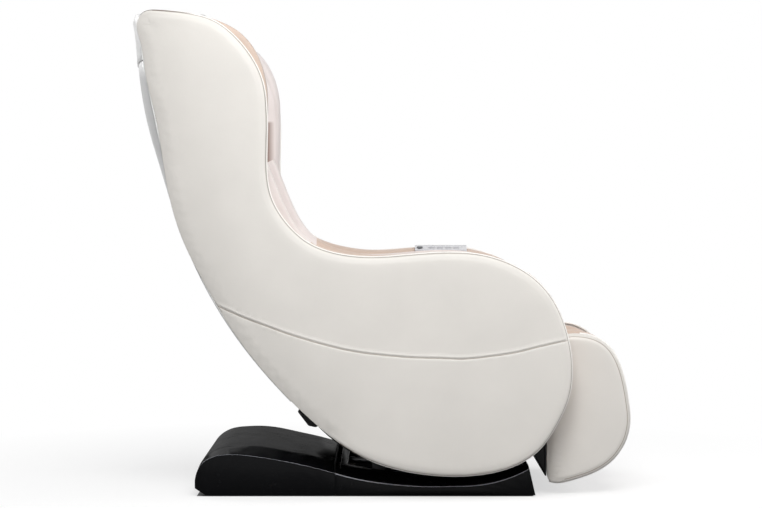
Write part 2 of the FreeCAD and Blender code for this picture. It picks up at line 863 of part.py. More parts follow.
def roller_head(name, side, height):
    """Barrel-shaped massage roller on its own stub axle."""
    owner = body(name)
    radius = of("roller_radius")
    middle = 59 * side
    arm = 87 * side
    x, z = of("arc_x") - 1212, of("arc_z") + height
    drawing = sketch(owner, "XY_Plane", z)
    inner, outer = 44 * side, 74 * side
    corners = [(0, inner), (20, inner), (radius - 2, middle - 8 * side), (radius, middle),
               (radius - 2, middle + 8 * side), (20, outer), (4, outer), (4, arm), (0, arm)]
    polygon(drawing, [(x + a, b) for a, b in corners])
    line = drawing.addGeometry(Part.LineSegment(Vector(x.value, -200, 0), Vector(x.value, 200, 0)), True)
    pin_point(drawing, line, 1, x, -200)
    pin_point(drawing, line, 2, x, 200)
    made = feature(owner, "Revolution", drawing, Angle=360)
    made.ReferenceAxis = (drawing, ["Axis0"])
    return on_track(owner)


def knead_gearmotor():
    """Gearbox round the kneading shaft with its motor above."""
    owner = body("knead_gearmotor")
    x, z = at_arc(of("knead_shaft_radius_from_centre"))

    def side(drawing):
        rectangle(drawing, of("arc_x") - 1294, z - 27, of("arc_x") - 1236, z + 27)
        circle(drawing, x, z, of("shaft_radius") + of("running_gap"))

    slab(owner, -27, 27, side)
    can = sketch(owner, "XY_Plane", z + 27)
    circle(can, of("arc_x") - 1272, 0, 21)
    feature(owner, "Pad", can, Length=30)
    return on_track(owner)


def travel_gearmotor():
    """Gearbox round the lower guide axle with its motor beside it."""
    owner = body("travel_gearmotor")
    z = of("arc_z") - guide_height()

    def side(drawing):
        rectangle(drawing, of("arc_x") - 1294, z - 17, of("arc_x") - 1256, z + 17)
        circle(drawing, guide_x(), z, 6 + of("running_gap"))

    slab(owner, -52, -16, side)
    can = sketch(owner, "XZ_Plane", 16)
    circle(can, guide_x() - 3, z, 17)
    circle(can, guide_x(), z, 6 + of("running_gap"))
    feature(owner, "Pad", can, Length=60, Reversed=True)
    return on_track(owner)


# Seat

def seat_line(x, drop=0):
    """Height of the underside of the seat cushion at x, less a drop."""
    return 291.5 + (sized(x) + 168) * of("seat_slope") - drop


def seat_cushion():
    """Soft seat with a rolled front edge, crowned across."""
    low = of("seat_slope").value
    half = leg_half()
    sections = []
    for across, drop, inset in ((-1, 26, 10), (-0.97, 12, 4), (-0.86, 3, 1), (-0.44, 0.5, 0), (0, 0, 0),
                                (0.44, 0.5, 0), (0.86, 3, 1), (0.97, 12, 4), (1, 26, 10)):
        top = [(366 - inset, 350), (365 - inset, 374 - drop * 0.6), (349 - inset, 394 - drop),
               (318, 401 - drop), (200, 397 - drop), (60, 386 - drop), (-60, 373 - drop),
               (-130, 364 - drop * 0.8), (-160, 357 - drop * 0.6), (-170, 340)]
        base = [(-168, 291.5), (340, 291.5 + 508 * low)]
        runs = [top, [top[-1], base[0]], base, [base[1], top[0]]]
        sections.append((half * across, lambda d, r=runs: outline(d, r)))
    return lofted("seat_cushion", sections)


def seat_board():
    owner = body("seat_board")
    thick = of("seat_board_thickness")
    corners = [(-165, seat_line(-165)), (-165, seat_line(-165) - thick),
               (338, seat_line(338) - thick), (338, seat_line(338))]
    slab(owner, -of("frame_half_width"), of("frame_half_width"), lambda d: polygon(d, corners))
    return owner


def seat_frame():
    """Steel seat frame with its cross bars and the two leg rest lugs and pivots."""
    owner = body("seat_frame")
    half = of("frame_half_width")
    inner = of("seat_rail_inner")
    thick = of("seat_board_thickness")
    tall = of("seat_rail_height")

    def bar(x0, x1):
        return [(x0, seat_line(x0) - thick), (x0, seat_line(x0) - thick - tall),
                (x1, seat_line(x1) - thick - tall), (x1, seat_line(x1) - thick)]

    for low, high in ((-half, -inner), (inner, half)):
        slab(owner, low, high, lambda d: polygon(d, bar(-160, 312)))
    for x0, x1 in ((-150, -128), (30, 52), (290, 312)):
        slab(owner, -inner, inner, lambda d, a=x0, b=x1: polygon(d, bar(a, b)))
    leg_x, leg_z = of("leg_x"), of("leg_z")
    lug = [(295, 294), (295, 312), (340, 312), (362, 326), (380, leg_z + 8), (leg_x - 2, leg_z + 12),
           (leg_x + 8, leg_z + 9), (leg_x + 11, leg_z), (leg_x + 8, leg_z - 9), (leg_x - 2, leg_z - 12),
           (350, 300)]
    far, near = leg_pad_outer() - 7, leg_pad_outer() - 13
    for low, high, pin_low, pin_high in ((-far, -near, -far, 22 - near), (near, far, near - 22, far)):
        slab(owner, low, high, lambda d: polygon(d, lug))
        slab(owner, pin_low, pin_high, lambda d: circle(d, leg_x, leg_z, of("leg_pin_radius")))
    return owner


# Recline cradle on the body

def pan_sheet():
    """Curved steel pan under the seat that the rails and the recline lug are welded to."""
    owner = body("pan_sheet")
    slab(owner, -of("frame_half_width"), of("frame_half_width"), lambda d: arc_band(
        d, of("recline_x"), of("recline_z"), of("pan_inner"), of("pan_outer"), 222, 300))
    return owner


def cradle_rail():
    """Curved C channel, open towards the middle, that runs over the base rollers."""
    owner = body("right_cradle_rail")
    pivot = (of("recline_x"), of("recline_z"))
    lip = of("rail_lip")
    pitch, roller = of("cradle_pitch"), of("cradle_roller")
    start, end = of("rail_start"), of("rail_end")
    slab(owner, -of("rail_out"), -of("rail_in"),
         lambda d: arc_band(d, *pivot, of("pan_outer"), lip, start, end))
    slab(owner, -of("rail_out") + 4, -of("rail_in") + 1,
         lambda d: arc_band(d, *pivot, pitch - roller - 0.3, pitch + roller + 0.3, start - 1, end + 1),
         cut=True)
    return owner


def slot_in_lever(drawing, x, z, turn, near, far, half):
    """A straight slot along a lever, as a rectangle at an angle."""
    along = (cosine(turn), sine(turn))
    corners = []
    for distance, side in ((near, half), (far, half), (far, -half), (near, -half)):
        corners.append((sized(x) + along[0] * distance - along[1] * side,
                        sized(z) + along[1] * distance + along[0] * side))
    polygon(drawing, corners)
    return drawing


def recline_lug():
    """Two slotted plates under the pan that the recline rod pulls."""
    owner = body("recline_lug")
    pivot = (of("recline_x"), of("recline_z"))

    def side(drawing):
        slot_in_lever(drawing, *pivot, 259, of("pan_outer"), 364, 13)
        slot_in_lever(drawing, *pivot, 259, 339.4, 357.1, of("pin_radius") + 0.6)

    for low, high in ((-15, -9), (9, 15)):
        slab(owner, low, high, side)
    slab(owner, -9, 9, lambda d: slot_in_lever(d, *pivot, 259, of("pan_outer"), 309, 13))
    return owner


def rear_bumper():
    """Black block that closes the underside behind the pan."""
    owner = body("rear_bumper")
    corners = [(-187.5, 188), (-163, 156), (-147, 152.5), (-139, 156), (-117, 189), (-126, 204), (-150, 222)]
    slab(owner, -of("frame_half_width"), of("frame_half_width"), lambda d: polygon(d, corners))
    return owner


def lower_front_cover():
    """Black sheet that closes the body below the seat front."""
    owner = body("lower_front_cover")
    corners = [(262.5, 131), (264.5, 128.5), (325, 212), (328, 240), (325, 240), (322, 213)]
    slab(owner, -of("frame_half_width"), of("frame_half_width"), lambda d: polygon(d, corners))
    return owner


# Base

REAR_RISE = [(-417, 34), (-413, 53), (-403, 71), (-386, 84), (-360, 92)]
WALL_TOP = REAR_RISE + [(-320, 93), (-281, 89), (-199, 75), (-130, 59), (-69, 42), (23, 27), (91, 22),
                        (160, 22), (211, 24), (262, 33), (300, 46), (332, 62)]
DECK_TOP = [(-417, 34), (-413, 56), (-403, 76), (-386, 92), (-365, 102), (-331, 107), (-292, 108),
            (-246, 103), (-200, 93), (-154, 83), (-113, 72), (-46, 57), (23, 47), (110, 39), (200, 42),
            (262, 51), (300, 60), (332, 67)]


def base_outline(top, drop, low):
    """Side-view outline of the base cover: top run, front, floor line and rear chamfer."""
    run = [(x + drop * 1.1 if x < -380 else x, z - drop) for x, z in top]
    run[-1] = (run[-1][0] - drop, run[-1][1])
    front = (346 - drop, low)
    rear = (-393 + drop, low)
    chamfer = (-417 + drop * 1.1, 18)
    return [run, [run[-1], front], [front, rear], [rear, chamfer], [chamfer, run[0]]]


def base_cover_blank():
    """Hollow black base cover, raised in the middle between sloping flanks."""
    wall = of("cover_wall").value
    half, deck = of("base_half_width"), of("deck_half_width")
    outer = []
    for plane, top in ((-half, WALL_TOP), (-deck, DECK_TOP), (deck, DECK_TOP), (half, WALL_TOP)):
        outer.append((plane, lambda d, t=top: outline(d, base_outline(t, 0, 2))))
    cover = lofted("base_blank", outer)
    inner = []
    side = half - wall
    for plane, top in ((-side, WALL_TOP), (-deck, DECK_TOP), (deck, DECK_TOP), (side, WALL_TOP)):
        inner.append((plane, lambda d, t=top: outline(d, base_outline(t, wall, -4))))
    hollow = lofted("base_hollow", inner)
    return without("base_shell", cover, [hollow])


def base_covers():
    """The rear hood and the front deck, parted by a channel across the base."""
    shell = base_cover_blank()
    rear_tools = [box("front_side_of_hood", (-103, -300, -10), (400, 300, 200))]
    for number, side in enumerate((-1, 1)):
        low, high = (-204, -176) if side < 0 else (176, 204)
        rear_tools.append(box(f"caster_opening_{number}", (-430, low, -10), (-368, high, 47)))
    rear = without("base_rear_hood", shell, rear_tools)
    well = of("rail_out") + 9
    front_tools = [box("rear_side_of_deck", (-440, -300, -10), (-102.6, 300, 200)),
                   box("parting_channel", (-103, -246, 30), (-91, 246, 200)),
                   box("cradle_well", (-75, -well, 10), (268, well, 200))]
    deck = without("front_deck_cover", shell, front_tools)
    half = of("base_half_width") - of("cover_wall") * 0.5
    seat = of("frame_bottom") + of("frame_height") + of("fit_gap")
    floor = box("channel_floor", (-102.6, -half, seat), (-88, half, seat + 2.7))
    return rear, joined("base_front_deck", [deck, floor])


def base_frame():
    """Welded steel frame inside the base with roller brackets and the actuator mount."""
    low = of("frame_bottom")
    high = low + of("frame_height")
    plane, thick = of("bracket_plane"), of("bracket_thickness")
    reach = of("base_half_width") - of("cover_wall") - of("fit_gap")
    pieces = []
    for name, y0, y1 in (("right", -160, -130), ("left", 130, 160)):
        pieces.append(box(f"base_rail_{name}", (-345, y0, low), (320, y1, high)))
    for number, (x0, x1) in enumerate(((-345, -320), (-85, -62), (295, 320))):
        pieces.append(box(f"base_cross_{number}", (x0, -reach, low), (x1, reach, high)))
    pieces.append(box("actuator_mount", (-345, -20, high - 1), (-333, 20, 88)))
    for number, (y0, y1) in enumerate(((-212, -207), (-173, -168), (168, 173), (207, 212))):
        pieces.append(box(f"caster_bracket_{number}", (-402, y0, 16), (-340, y1, 32)))
    frame = joined("base_frame_members", pieces)
    brackets = []
    cutters = []
    for number, angle in enumerate((of("cradle_rear_angle"), of("cradle_front_angle"))):
        x, z = on_arc(of("recline_x"), of("recline_z"), of("cradle_pitch"), angle)
        for side, y0 in (("right", -plane - thick), ("left", plane)):
            brackets.append(box(f"roller_bracket_{side}_{number}", (x - 15, y0, high - 1),
                                (x + 15, y0 + thick, z + 12)))
        cutters.append(rod(f"roller_shaft_bore_{number}", (x, -200, z), "Y", 400,
                           of("cradle_shaft") + of("running_gap")))
    for number, y0 in enumerate((-220, 160)):
        cutters.append(rod(f"caster_bore_{number}", (of("caster_x"), y0, of("caster_z")), "Y", 60,
                           of("caster_axle") + of("running_gap")))
    return without("base_frame", joined("base_frame_blank", [frame] + brackets), cutters)


def foot_pads():
    pads = []
    for number, (x, y) in enumerate(((-332, -235), (-332, 235), (307, -235), (307, 235))):
        pads.append(rod(f"foot_pad_{number}", (x, y, 0), "Z", of("frame_bottom"), 18))
    return group("foot_pads", pads)


def cradle_shaft(name, angle):
    """Cross shaft with a support roller at each end, carried by the base brackets."""
    x, z = on_arc(of("recline_x"), of("recline_z"), of("cradle_pitch"), of(angle))
    owner = body(name)
    edge = of("rail_out") - 4.6
    slab(owner, -edge, edge, lambda d: circle(d, x, z, of("cradle_shaft")))
    for low, high in ((-edge, of("rail_in") * -1 + 1), (of("rail_in") - 1, edge)):
        slab(owner, low, high, lambda d: circle(d, x, z, of("cradle_roller")))
    return owner


def transport_wheels():
    """Two wheels on one axle at the rear lower edge, for moving the tipped chair."""
    owner = body("transport_wheels")
    x, z = of("caster_x"), of("caster_z")
    slab(owner, -212, 212, lambda d: circle(d, x, z, of("caster_axle")))
    for low, high in ((-202, -178), (178, 202)):
        slab(owner, low, high, lambda d: circle(d, x, z, of("caster_radius")))
    return owner


def actuator(name, rear, front, z, bore_start, motor_end):
    """Linear actuator housing: guide tube, and a motor beside its rear end."""
    tube = rod(f"{name}_tube", (rear, 0, z), "X", sized(front) - rear, 16)
    motor = rod(f"{name}_motor", (rear, 46, z), "X", sized(motor_end) - rear, 21)
    gear = box(f"{name}_gearbox", (rear, -18, sized(z) - 18), (sized(rear) + 26, 60, sized(z) + 18))
    bore = rod(f"{name}_bore", (bore_start, 0, z), "X", sized(front) - bore_start + 5,
               of("rod_radius") + of("running_gap"))
    return without(name, joined(f"{name}_blank", [tube, motor, gear]), [bore])


def actuator_rod(name, start, eye_x, z, half_eye):
    """Pull rod with a flat eye that is drilled for its pin."""
    bar = rod(f"{name}_bar", (start, 0, z), "X", sized(eye_x) - start - 8, of("rod_radius"))
    eye = rod(f"{name}_eye", (eye_x, -half_eye, z), "Y", 2 * half_eye, 11)
    hole = rod(f"{name}_eye_hole", (eye_x, -20, z), "Y", 40, of("pin_radius") + 0.05)
    return without(name, joined(f"{name}_blank", [bar, eye]), [hole])


# Leg rest

LEG_OUTLINE = [(408, 358), (424, 362), (448, 362), (481, 355), (510, 337), (532, 306), (547, 264),
               (557, 212), (561, 172), (555, 131), (541, 101), (514, 70), (475, 47), (434, 33),
               (396, 26), (380, 29)]
LEG_REAR = [(380, 29), (376, 36), (374, 60), (374, 290), (386, 306), (404, 326), (408, 342), (408, 358)]


def leg_section(inset, push=0):
    """Leg rest side outline: a smooth front run, pushed out at its middle, and a straight rear."""
    front = []
    for index, point in enumerate(LEG_OUTLINE):
        before = LEG_OUTLINE[max(index - 1, 0)]
        after = LEG_OUTLINE[min(index + 1, len(LEG_OUTLINE) - 1)]
        along = Vector(after[0] - before[0], after[1] - before[1], 0)
        along.normalize()
        reach = push * math.sin(math.pi * index / (len(LEG_OUTLINE) - 1))
        front.append((point[0] + along.y * inset + reach, point[1] - along.x * inset))
    rear = [(x + max(0, min(inset, 8)), z) for x, z in LEG_REAR[1:-1]]
    points = [front[-1]] + rear + [front[0]]
    runs = [front]
    for start, end in zip(points, points[1:]):
        runs.append([start, end])
    return runs


def leg_side_panel():
    back = leg_panel_back()
    depth = of("leg_panel_thickness")
    sections = []
    for level, inset in ((0, 0), (0.5, 0.6), (0.8, 4), (1, 16)):
        runs = leg_section(inset)
        sections.append((-(back + depth * level), lambda d, r=runs: outline(d, r)))
    return lofted("leg_right_side_panel", sections)


def leg_piping():
    owner = body("leg_right_piping")
    plane = leg_pad_outer() + of("seam_width") * 0.5
    path = sketch(owner, "XZ_Plane", plane)
    run = LEG_OUTLINE[2:]
    path.addGeometry(curve_through(run, False), False)
    path.addConstraint(Sketcher.Constraint("Block", 0))
    profile = sketch(owner, "YZ_Plane", run[0][0])
    circle(profile, -plane, run[0][1], of("piping_radius"))
    made = feature(owner, "AdditivePipe", profile)
    made.Spine = path
    return owner


def leg_pad(name, planes):
    """Soft upright wall of the leg rest, crowned at its front and top."""
    sections = []
    for plane, inset, push in planes:
        runs = leg_section(inset, push)
        sections.append((plane, lambda d, r=runs: outline(d, r)))
    return lofted(name, sections)


def leg_pads():
    outer, inner = leg_pad_outer(), leg_wall_inner()
    right = leg_pad("leg_right_wall", [(-outer, 0.5, 0), (8 - outer, -1.5, 0), (22 - outer, -2, 0),
                                       (-inner - 6, 3, 0), (-inner, 12, 0)])
    half = of("divider_half")
    middle = leg_pad("leg_divider", [(-half, 16, 6), (7 - half, 5, 12), (-16, -2, 16), (16, -2, 16),
                                     (half - 7, 5, 12), (half, 16, 6)])
    return right, middle


def leg_frame():
    """Steel plate, hinge tube, gussets and slotted lever of the leg rest."""
    owner = body("leg_frame")
    x, z = of("leg_x"), of("leg_z")
    reach = leg_pad_outer() - 13.5
    slab(owner, -reach, reach, lambda d: circle(d, x, z, of("leg_tube_radius")))
    slab(owner, 1 - leg_pad_outer(), leg_pad_outer() - 1, lambda d: rectangle(d, 370.6, 40, 373.6, 306))
    gusset = [(370.6, 300), (373.4, 292), (384, 307), (396, 331), (392, 342), (384, 340), (371, 318)]
    for low, high in ((10 - reach, 18 - reach), (reach - 18, reach - 10)):
        slab(owner, low, high, lambda d: polygon(d, gusset))
    for low, high in ((-15, -9), (9, 15)):
        slab(owner, low, high, lambda d: slot_in_lever(d, x, z, 230, 10, 103, 11))
    bore = of("leg_pin_radius") + of("running_gap")
    slab(owner, -reach - 1, reach + 1, lambda d: circle(d, x, z, bore), cut=True)
    slot = of("pin_radius") + 2.8
    slab(owner, -16, 16, lambda d: slot_in_lever(d, x, z, 230, 63.5, 96, slot), cut=True)
    return owner


def leg_rear_cover():
    owner = body("leg_rear_cover")
    corners = [(370.3, 40), (366, 52), (346, 88), (341, 112), (341, 222), (352, 238), (370.3, 238)]
    slab(owner, 2 - leg_pad_outer(), leg_pad_outer() - 2, lambda d: polygon(d, corners))
    return owner


def leg_back_pad(name, low, high):
    """Soft back and sole of one leg trough."""
    corners = [(374, 62), (382, 40), (400, 34), (500, 66), (528, 92), (534, 112), (520, 106), (490, 92),
               (440, 76), (408, 84), (400, 104), (398, 300), (396, 316), (388, 323), (374, 323)]
    owner = body(name)
    slab(owner, low, high, lambda d: polygon(d, corners))
    return owner


# Electrics under the seat

def electronics():
    """Tray across the pan with the supply, control, pump and valve housings."""
    tray_top = 159
    tray = joined("electronics_tray", [box("tray_sheet", (-76, -160, 157), (281, 160, tray_top)),
                                       box("tray_stay", (254, -160, 131), (257, 160, 158))])
    supply = box("power_supply", (-60, -150, tray_top), (60, -30, 215))
    control = box("control_box", (90, -150, tray_top), (210, -40, 195))
    pump = joined("air_pump", [box("air_pump_block", (-50, 40, tray_top), (50, 150, 205)),
                               rod("air_pump_head", (0, 95, 205), "Z", 14, 30)])
    valves = [box("valve_block", (90, 60, tray_top), (190, 140, 183))]
    for number in range(4):
        valves.append(rod(f"valve_port_{number}", (102 + number * 25, 100, 183), "Z", 12, 6))
    return tray, supply, control, pump, joined("valve_manifold", valves)


# Rear connection plate

def power_plate():
    """Plate on the lower back with an inlet recess and a switch window."""
    x, z = of("arc_x"), of("arc_z")
    face = of("shell_radius") + 6
    seat = of("shell_radius") + of("fit_gap")
    plate_block = box("power_bezel", (x - face, -50, z - 21.7), (x - seat, 50, z + 21.7))
    rear_block = box("power_housing", (x - seat, -46, z - 17), (x - face + 29, 46, z + 17))
    recess = box("inlet_recess", (x - face - 2, -38, z - 10.5), (x - face + 19, -10, z + 10.5))
    window = box("switch_window", (x - face - 2, 12, z - 12), (x - face + 22, 28, z + 12))
    block = joined("power_plate_block", [plate_block, rear_block])
    blank = without("power_plate_blank", block, [recess, window])
    pieces = [blank]
    for number, (across, height) in enumerate(((-33, 0), (-24, 3.5), (-15, 0))):
        pieces.append(box(f"inlet_pin_{number}", (x - face + 5, across - 1, z + height - 2.5),
                          (x - face + 20, across + 1, z + height + 2.5)))
    made = joined("power_plate_level", pieces)
    held = group("power_plate", [made])
    return swing(held, x, z, of("plate_angle"))


def power_rocker():
    """Rocker on a cross pin inside the switch window."""
    owner = body("power_rocker")
    x, z = of("arc_x") - of("shell_radius"), of("arc_z")
    cap = [(x - 9.5, z - 10.5), (x - 7, z), (x - 9.5, z + 10.5), (x + 4, z + 7), (x + 4, z - 7)]
    slab(owner, 12.8, 27.2, lambda d: polygon(d, cap))
    slab(owner, 12.4, 27.6, lambda d: circle(d, x + 4, z, 2))
    return swing(owner, of("arc_x"), of("arc_z"), of("plate_angle"))


# Arm controls

def panel_place(thing):
    """Put a piece built about the origin on the tilted inner top of the left arm."""
    tilt = of("panel_tilt")
    middle_y = band_inner() + of("panel_set_in")
    places = {"x": of("panel_middle_x"), "y": middle_y, "z": of("panel_middle_z")}
    thing.Placement = Placement(Vector(0, 0, 0), Rotation(Vector(1, 0, 0), tilt.value))
    bind(thing, "Placement.Rotation.Angle", tilt)
    for axis, place in places.items():
        bind(thing, f"Placement.Base.{axis}", place)
    return thing


KEYS_X = (-22, -2, 18, 38)


def control_panel():
    """Silvery control housing with wells for the round button and the keys."""
    owner = body("control_panel")
    plate(owner, -12, 0, lambda d: rectangle(d, -64, -21, 64, 21))
    gap = of("key_gap")
    plate(owner, -3.6, 1, lambda d: circle(d, -52, 0, gap + 7), cut=True)

    def wells(drawing):
        for x in KEYS_X:
            rectangle(drawing, -gap + x - 7, -gap - 4, gap + x + 7, gap + 4)

    plate(owner, -3.6, 1, wells, cut=True)
    return panel_place(owner)


def power_button():
    owner = body("power_button")
    plate(owner, -1.9, 2, lambda d: circle(d, -52, 0, 7))
    return panel_place(owner)


def function_key(number):
    owner = body(f"function_key_{number + 1}")
    x = KEYS_X[number]
    plate(owner, -1.9, 1, lambda d: rectangle(d, x - 7, -4, x + 7, 4))
    return panel_place(owner)


def panel_pocket():
    """Room for the control housing in the left arm's padding."""
    pocket = box("panel_pocket", (-64.6, -21.6, -12.6), (64.6, 21.6, 60))
    return panel_place(group("panel_pocket_placed", [pocket]))


# Assembly

def both(name, right):
    """A piece and its mirror image in one node."""
    return group(name, [right, mirrored(f"{name}_left", right)])


def side_bodies():
    """Outer panels, seams, padded bands, frames and inner walls of both sides."""
    panel = side_panel()
    band = edge_band()
    frame = side_frame()
    wall = inner_wall()
    pocket = panel_pocket()
    left_band = without("left_edge_band", mirrored("left_band_blank", band), [pocket])
    left_frame = without("left_side_frame", mirrored("left_side_frame_blank", frame), [pocket])
    left_wall = without("left_inner_wall", mirrored("left_wall_blank", wall), [pocket])
    return [panel, mirrored("left_side_panel", panel), both("edge_piping", edge_piping()),
            band, left_band, group("plywood_frames", [frame, left_frame, back_cushion_rails()]),
            group("inner_walls", [wall, left_wall]), both("side_bolsters", bolster())]


def massage_unit():
    """Track, carriage, axles, arms and rollers."""
    nodes = [track_rails(), carriage_frame(), guide_axle("upper_guide_axle", guide_height()),
             guide_axle("lower_guide_axle", -guide_height()), knead_shaft(),
             group("carriage_gearmotors", [knead_gearmotor(), travel_gearmotor()]),
             massage_arm("right_massage_arm", -86, -76), massage_arm("left_massage_arm", 76, 86)]
    for side_name, side in (("right", -1), ("left", 1)):
        for level, height in (("upper", 48), ("lower", -48)):
            nodes.append(roller_head(f"{side_name}_{level}_roller", side, height))
    return nodes


def side_airbags():
    """Air cells of the shoulder and the arm, behind the inner wall."""
    shoulder = [(-430, 760), (-430, 940), (-320, 940), (-300, 760)]
    arm = [(60, 420), (60, 490), (190, 490), (190, 420)]
    cells = []
    for name, corners in (("shoulder", shoulder), ("arm", arm)):
        cell = body(f"right_{name}_airbag")
        slab(cell, -28 - band_inner(), -band_inner(), lambda d: polygon(d, corners))
        cells.extend([cell, mirrored(f"left_{name}_airbag", cell)])
    return group("side_airbags", cells)


def under_seat():
    """Pan, rails, covers and electrics below the seat."""
    rail = cradle_rail()
    tray, supply, control, pump, valves = electronics()
    return [joined("cradle_pan", [pan_sheet(), recline_lug(), tray]), both("cradle_rails", rail),
            group("underside_covers", [rear_bumper(), lower_front_cover()]),
            group("electric_boxes", [supply, control]), group("air_pump_and_valves", [pump, valves])]


def base_unit():
    """Covers, frame, feet, wheels and the recline actuator."""
    rod_z, pin_x = of("recline_rod_z"), of("recline_pin_x")
    pull = actuator_rod("recline_pull", -262, pin_x, rod_z, 8)
    pin = rod("recline_pin", (pin_x, -15.5, rod_z), "Y", 31, of("pin_radius"))
    rear, front = base_covers()
    return [rear, front, base_frame(), foot_pads(),
            cradle_shaft("rear_cradle_rollers", "cradle_rear_angle"),
            cradle_shaft("front_cradle_rollers", "cradle_front_angle"), transport_wheels(),
            actuator("recline_actuator", -333, -108, rod_z, -292, -200), group("recline_rod", [pull, pin])]


def leg_unit():
    """Leg rest with its actuator."""
    rod_z, pin_x = of("leg_rod_z"), of("leg_pin_x")
    pull = actuator_rod("leg_pull", 140, pin_x, rod_z, 8)
    pin = rod("leg_pin", (pin_x, -15.5, rod_z), "Y", 31, of("pin_radius"))
    wall_pad, divider = leg_pads()
    far, near = leg_wall_inner() - 0.5, of("divider_half") + 0.5
    trough = leg_back_pad("leg_right_trough_pad", -far, -near)
    return [actuator("leg_actuator", 52, 278, rod_z, 120, 185), group("leg_rod", [pull, pin]),
            both("leg_side_panels", leg_side_panel()), both("leg_piping", leg_piping()),
            both("leg_walls", wall_pad), divider, leg_frame(), leg_rear_cover(),
            both("leg_trough_pads", trough)]


def build():
    nodes = side_bodies()
    nodes.extend([back_shell(), back_vent(), top_cap(), back_cushion()])
    nodes.extend(massage_unit())
    nodes.extend([seat_cushion(), seat_board(), seat_frame()])
    nodes.extend(under_seat())
    nodes.append(side_airbags())
    nodes.extend(base_unit())
    nodes.extend(leg_unit())
    nodes.extend([power_plate(), power_rocker(), control_panel(), power_button()])
    nodes.extend(function_key(number) for number in range(len(KEYS_X)))
    return nodes


parts = build()
document.recompute()
faults = []
for thing in document.Objects:
    if any(word in str(state) for state in thing.State for word in ("Invalid", "Error")):
        faults.append(f"{thing.Label}: {thing.State}")
for node in parts:
    if node.Shape.isNull() or not node.Shape.isValid() or not node.Shape.Solids:
        faults.append(f"{node.Label}: no valid solid")
if faults:
    raise RuntimeError("; ".join(faults))
os.makedirs("parts", exist_ok=True)
for node in parts:
    node.Shape.exportStep(f"parts/{node.Label}.step")
print(len(parts), "nodes written")
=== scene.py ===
import math

import bmesh
import bpy
import numpy as np
from bpy.props import FloatProperty, FloatVectorProperty, IntProperty, PointerProperty
from mathutils import Matrix, Vector
from mathutils.geometry import delaunay_2d_cdt


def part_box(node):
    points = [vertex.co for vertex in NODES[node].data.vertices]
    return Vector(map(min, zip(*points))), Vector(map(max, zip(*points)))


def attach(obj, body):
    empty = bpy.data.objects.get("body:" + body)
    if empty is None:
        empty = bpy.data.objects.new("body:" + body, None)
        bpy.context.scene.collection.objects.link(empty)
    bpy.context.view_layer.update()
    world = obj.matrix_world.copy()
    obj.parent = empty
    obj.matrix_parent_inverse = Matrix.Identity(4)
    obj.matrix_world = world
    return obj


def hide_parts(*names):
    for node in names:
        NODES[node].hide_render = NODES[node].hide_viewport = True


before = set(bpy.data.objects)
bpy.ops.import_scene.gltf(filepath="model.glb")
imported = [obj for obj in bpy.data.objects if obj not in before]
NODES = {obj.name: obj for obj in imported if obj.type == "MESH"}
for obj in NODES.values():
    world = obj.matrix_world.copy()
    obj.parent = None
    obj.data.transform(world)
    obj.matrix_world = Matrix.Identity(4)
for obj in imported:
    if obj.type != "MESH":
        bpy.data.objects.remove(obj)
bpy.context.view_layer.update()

bl_info = {
    "name": "Massage chair dressing",
    "version": (1, 0, 0),
    "blender": (4, 5, 0),
    "location": "3D View > Sidebar > Chair",
    "description": "Upholstery, finishes, light and camera for a curved massage chair",
    "category": "Object",
}

# Sewn lines: the outer panel's seam in side view, the places of others, the angles of the back's
PANEL_SEAM = [(-0.3640, 0.4330), (-0.3102, 0.4092), (-0.2662, 0.3927), (-0.1782, 0.3619), (-0.0682, 0.3333),
              (0.0418, 0.3201), (0.1298, 0.3166), (0.1848, 0.3153), (0.2420, 0.3210), (0.2970, 0.3293),
              (0.3542, 0.3434), (0.4250, 0.3590)]
LEG_SEAM = 0.0068
ARM_PAD_SEAM = -0.158
STITCHES_PER_METRE = 210.0
BACK_CHANNELS = (9.5, 17.5, 25.5)

# How far the panels stand out, and the rows and grid of their mesh
PANEL_DEPTH = 0.017
LEG_PANEL_DEPTH = 0.018
RING_GAPS = (0.0004, 0.001, 0.002, 0.0035, 0.0055, 0.008, 0.011, 0.0145, 0.0185, 0.023, 0.028)
SEAM_ROWS = (-0.008, -0.005, -0.003, -0.0015, 0, 0.0015, 0.003, 0.005, 0.008)
PANEL_GRID = 0.0068
PADDING_PRESSURE = 4

# Colour of the highlight painted along the base's top edges
EDGE_HIGHLIGHT_PAINT = (0.72, 0.73, 0.77)

# Stage: camera, lamps (place, size, power, colour) and the share of white that the floor has of its own
CAMERA_PLACE = (0, -5.35, 0.663)
CAMERA_DOWN = 1.36
CAMERA_LENS = 107.4
LAMPS = (((0.3, -2.25, 2.2), 1.5, 56, (1.0, 1.0, 0.99)),
         ((0.1, -0.6, 3.4), 2.4, 12, (1.0, 1.0, 1.0)),
         ((2.6, 0.1, 1.7), 1.6, 24, (1.0, 1.0, 1.0)),
         ((-2.4, 2.4, 2.0), 1.8, 32, (1.0, 1.0, 1.0)))
FLOOR_LIFT = 0.62


def length_of(name, text, value):
    return FloatProperty(name=name, description=text, default=value, unit="LENGTH")


def colour_of(name, text, value):
    return FloatVectorProperty(name=name, description=text, default=value, subtype="COLOR_GAMMA",
                               size=3, min=0.0, max=1.0)


class ChairSizes(bpy.types.PropertyGroup):
    """Sizes of the upholstery."""
    voxel: length_of("Padding mesh size", "Mesh size of the padded pieces", 0.0055)
    swell: length_of("Padding swell", "Furthest that padding may swell", 0.007)
    front_round: length_of("Front rounding", "Width of the outer panel's rounding", 0.026)
    rear_round: length_of("Rear rounding", "Width of the rounding towards the rear", 0.104)
    crown: length_of("Panel crown", "How far the outer panel bulges", 0.004)
    bead: length_of("Seam bead", "Radius of the bead along the panel's edge", 0.0031)
    # The dark bead beside the edge cord is painted shade of the gap between the cord and the band
    thread_and_shade: length_of("Edge thread", "Radius of the thread beside that bead", 0.0011)
    frames: IntProperty(name="Padding steps", description="Steps of the padding's swelling", default=20)


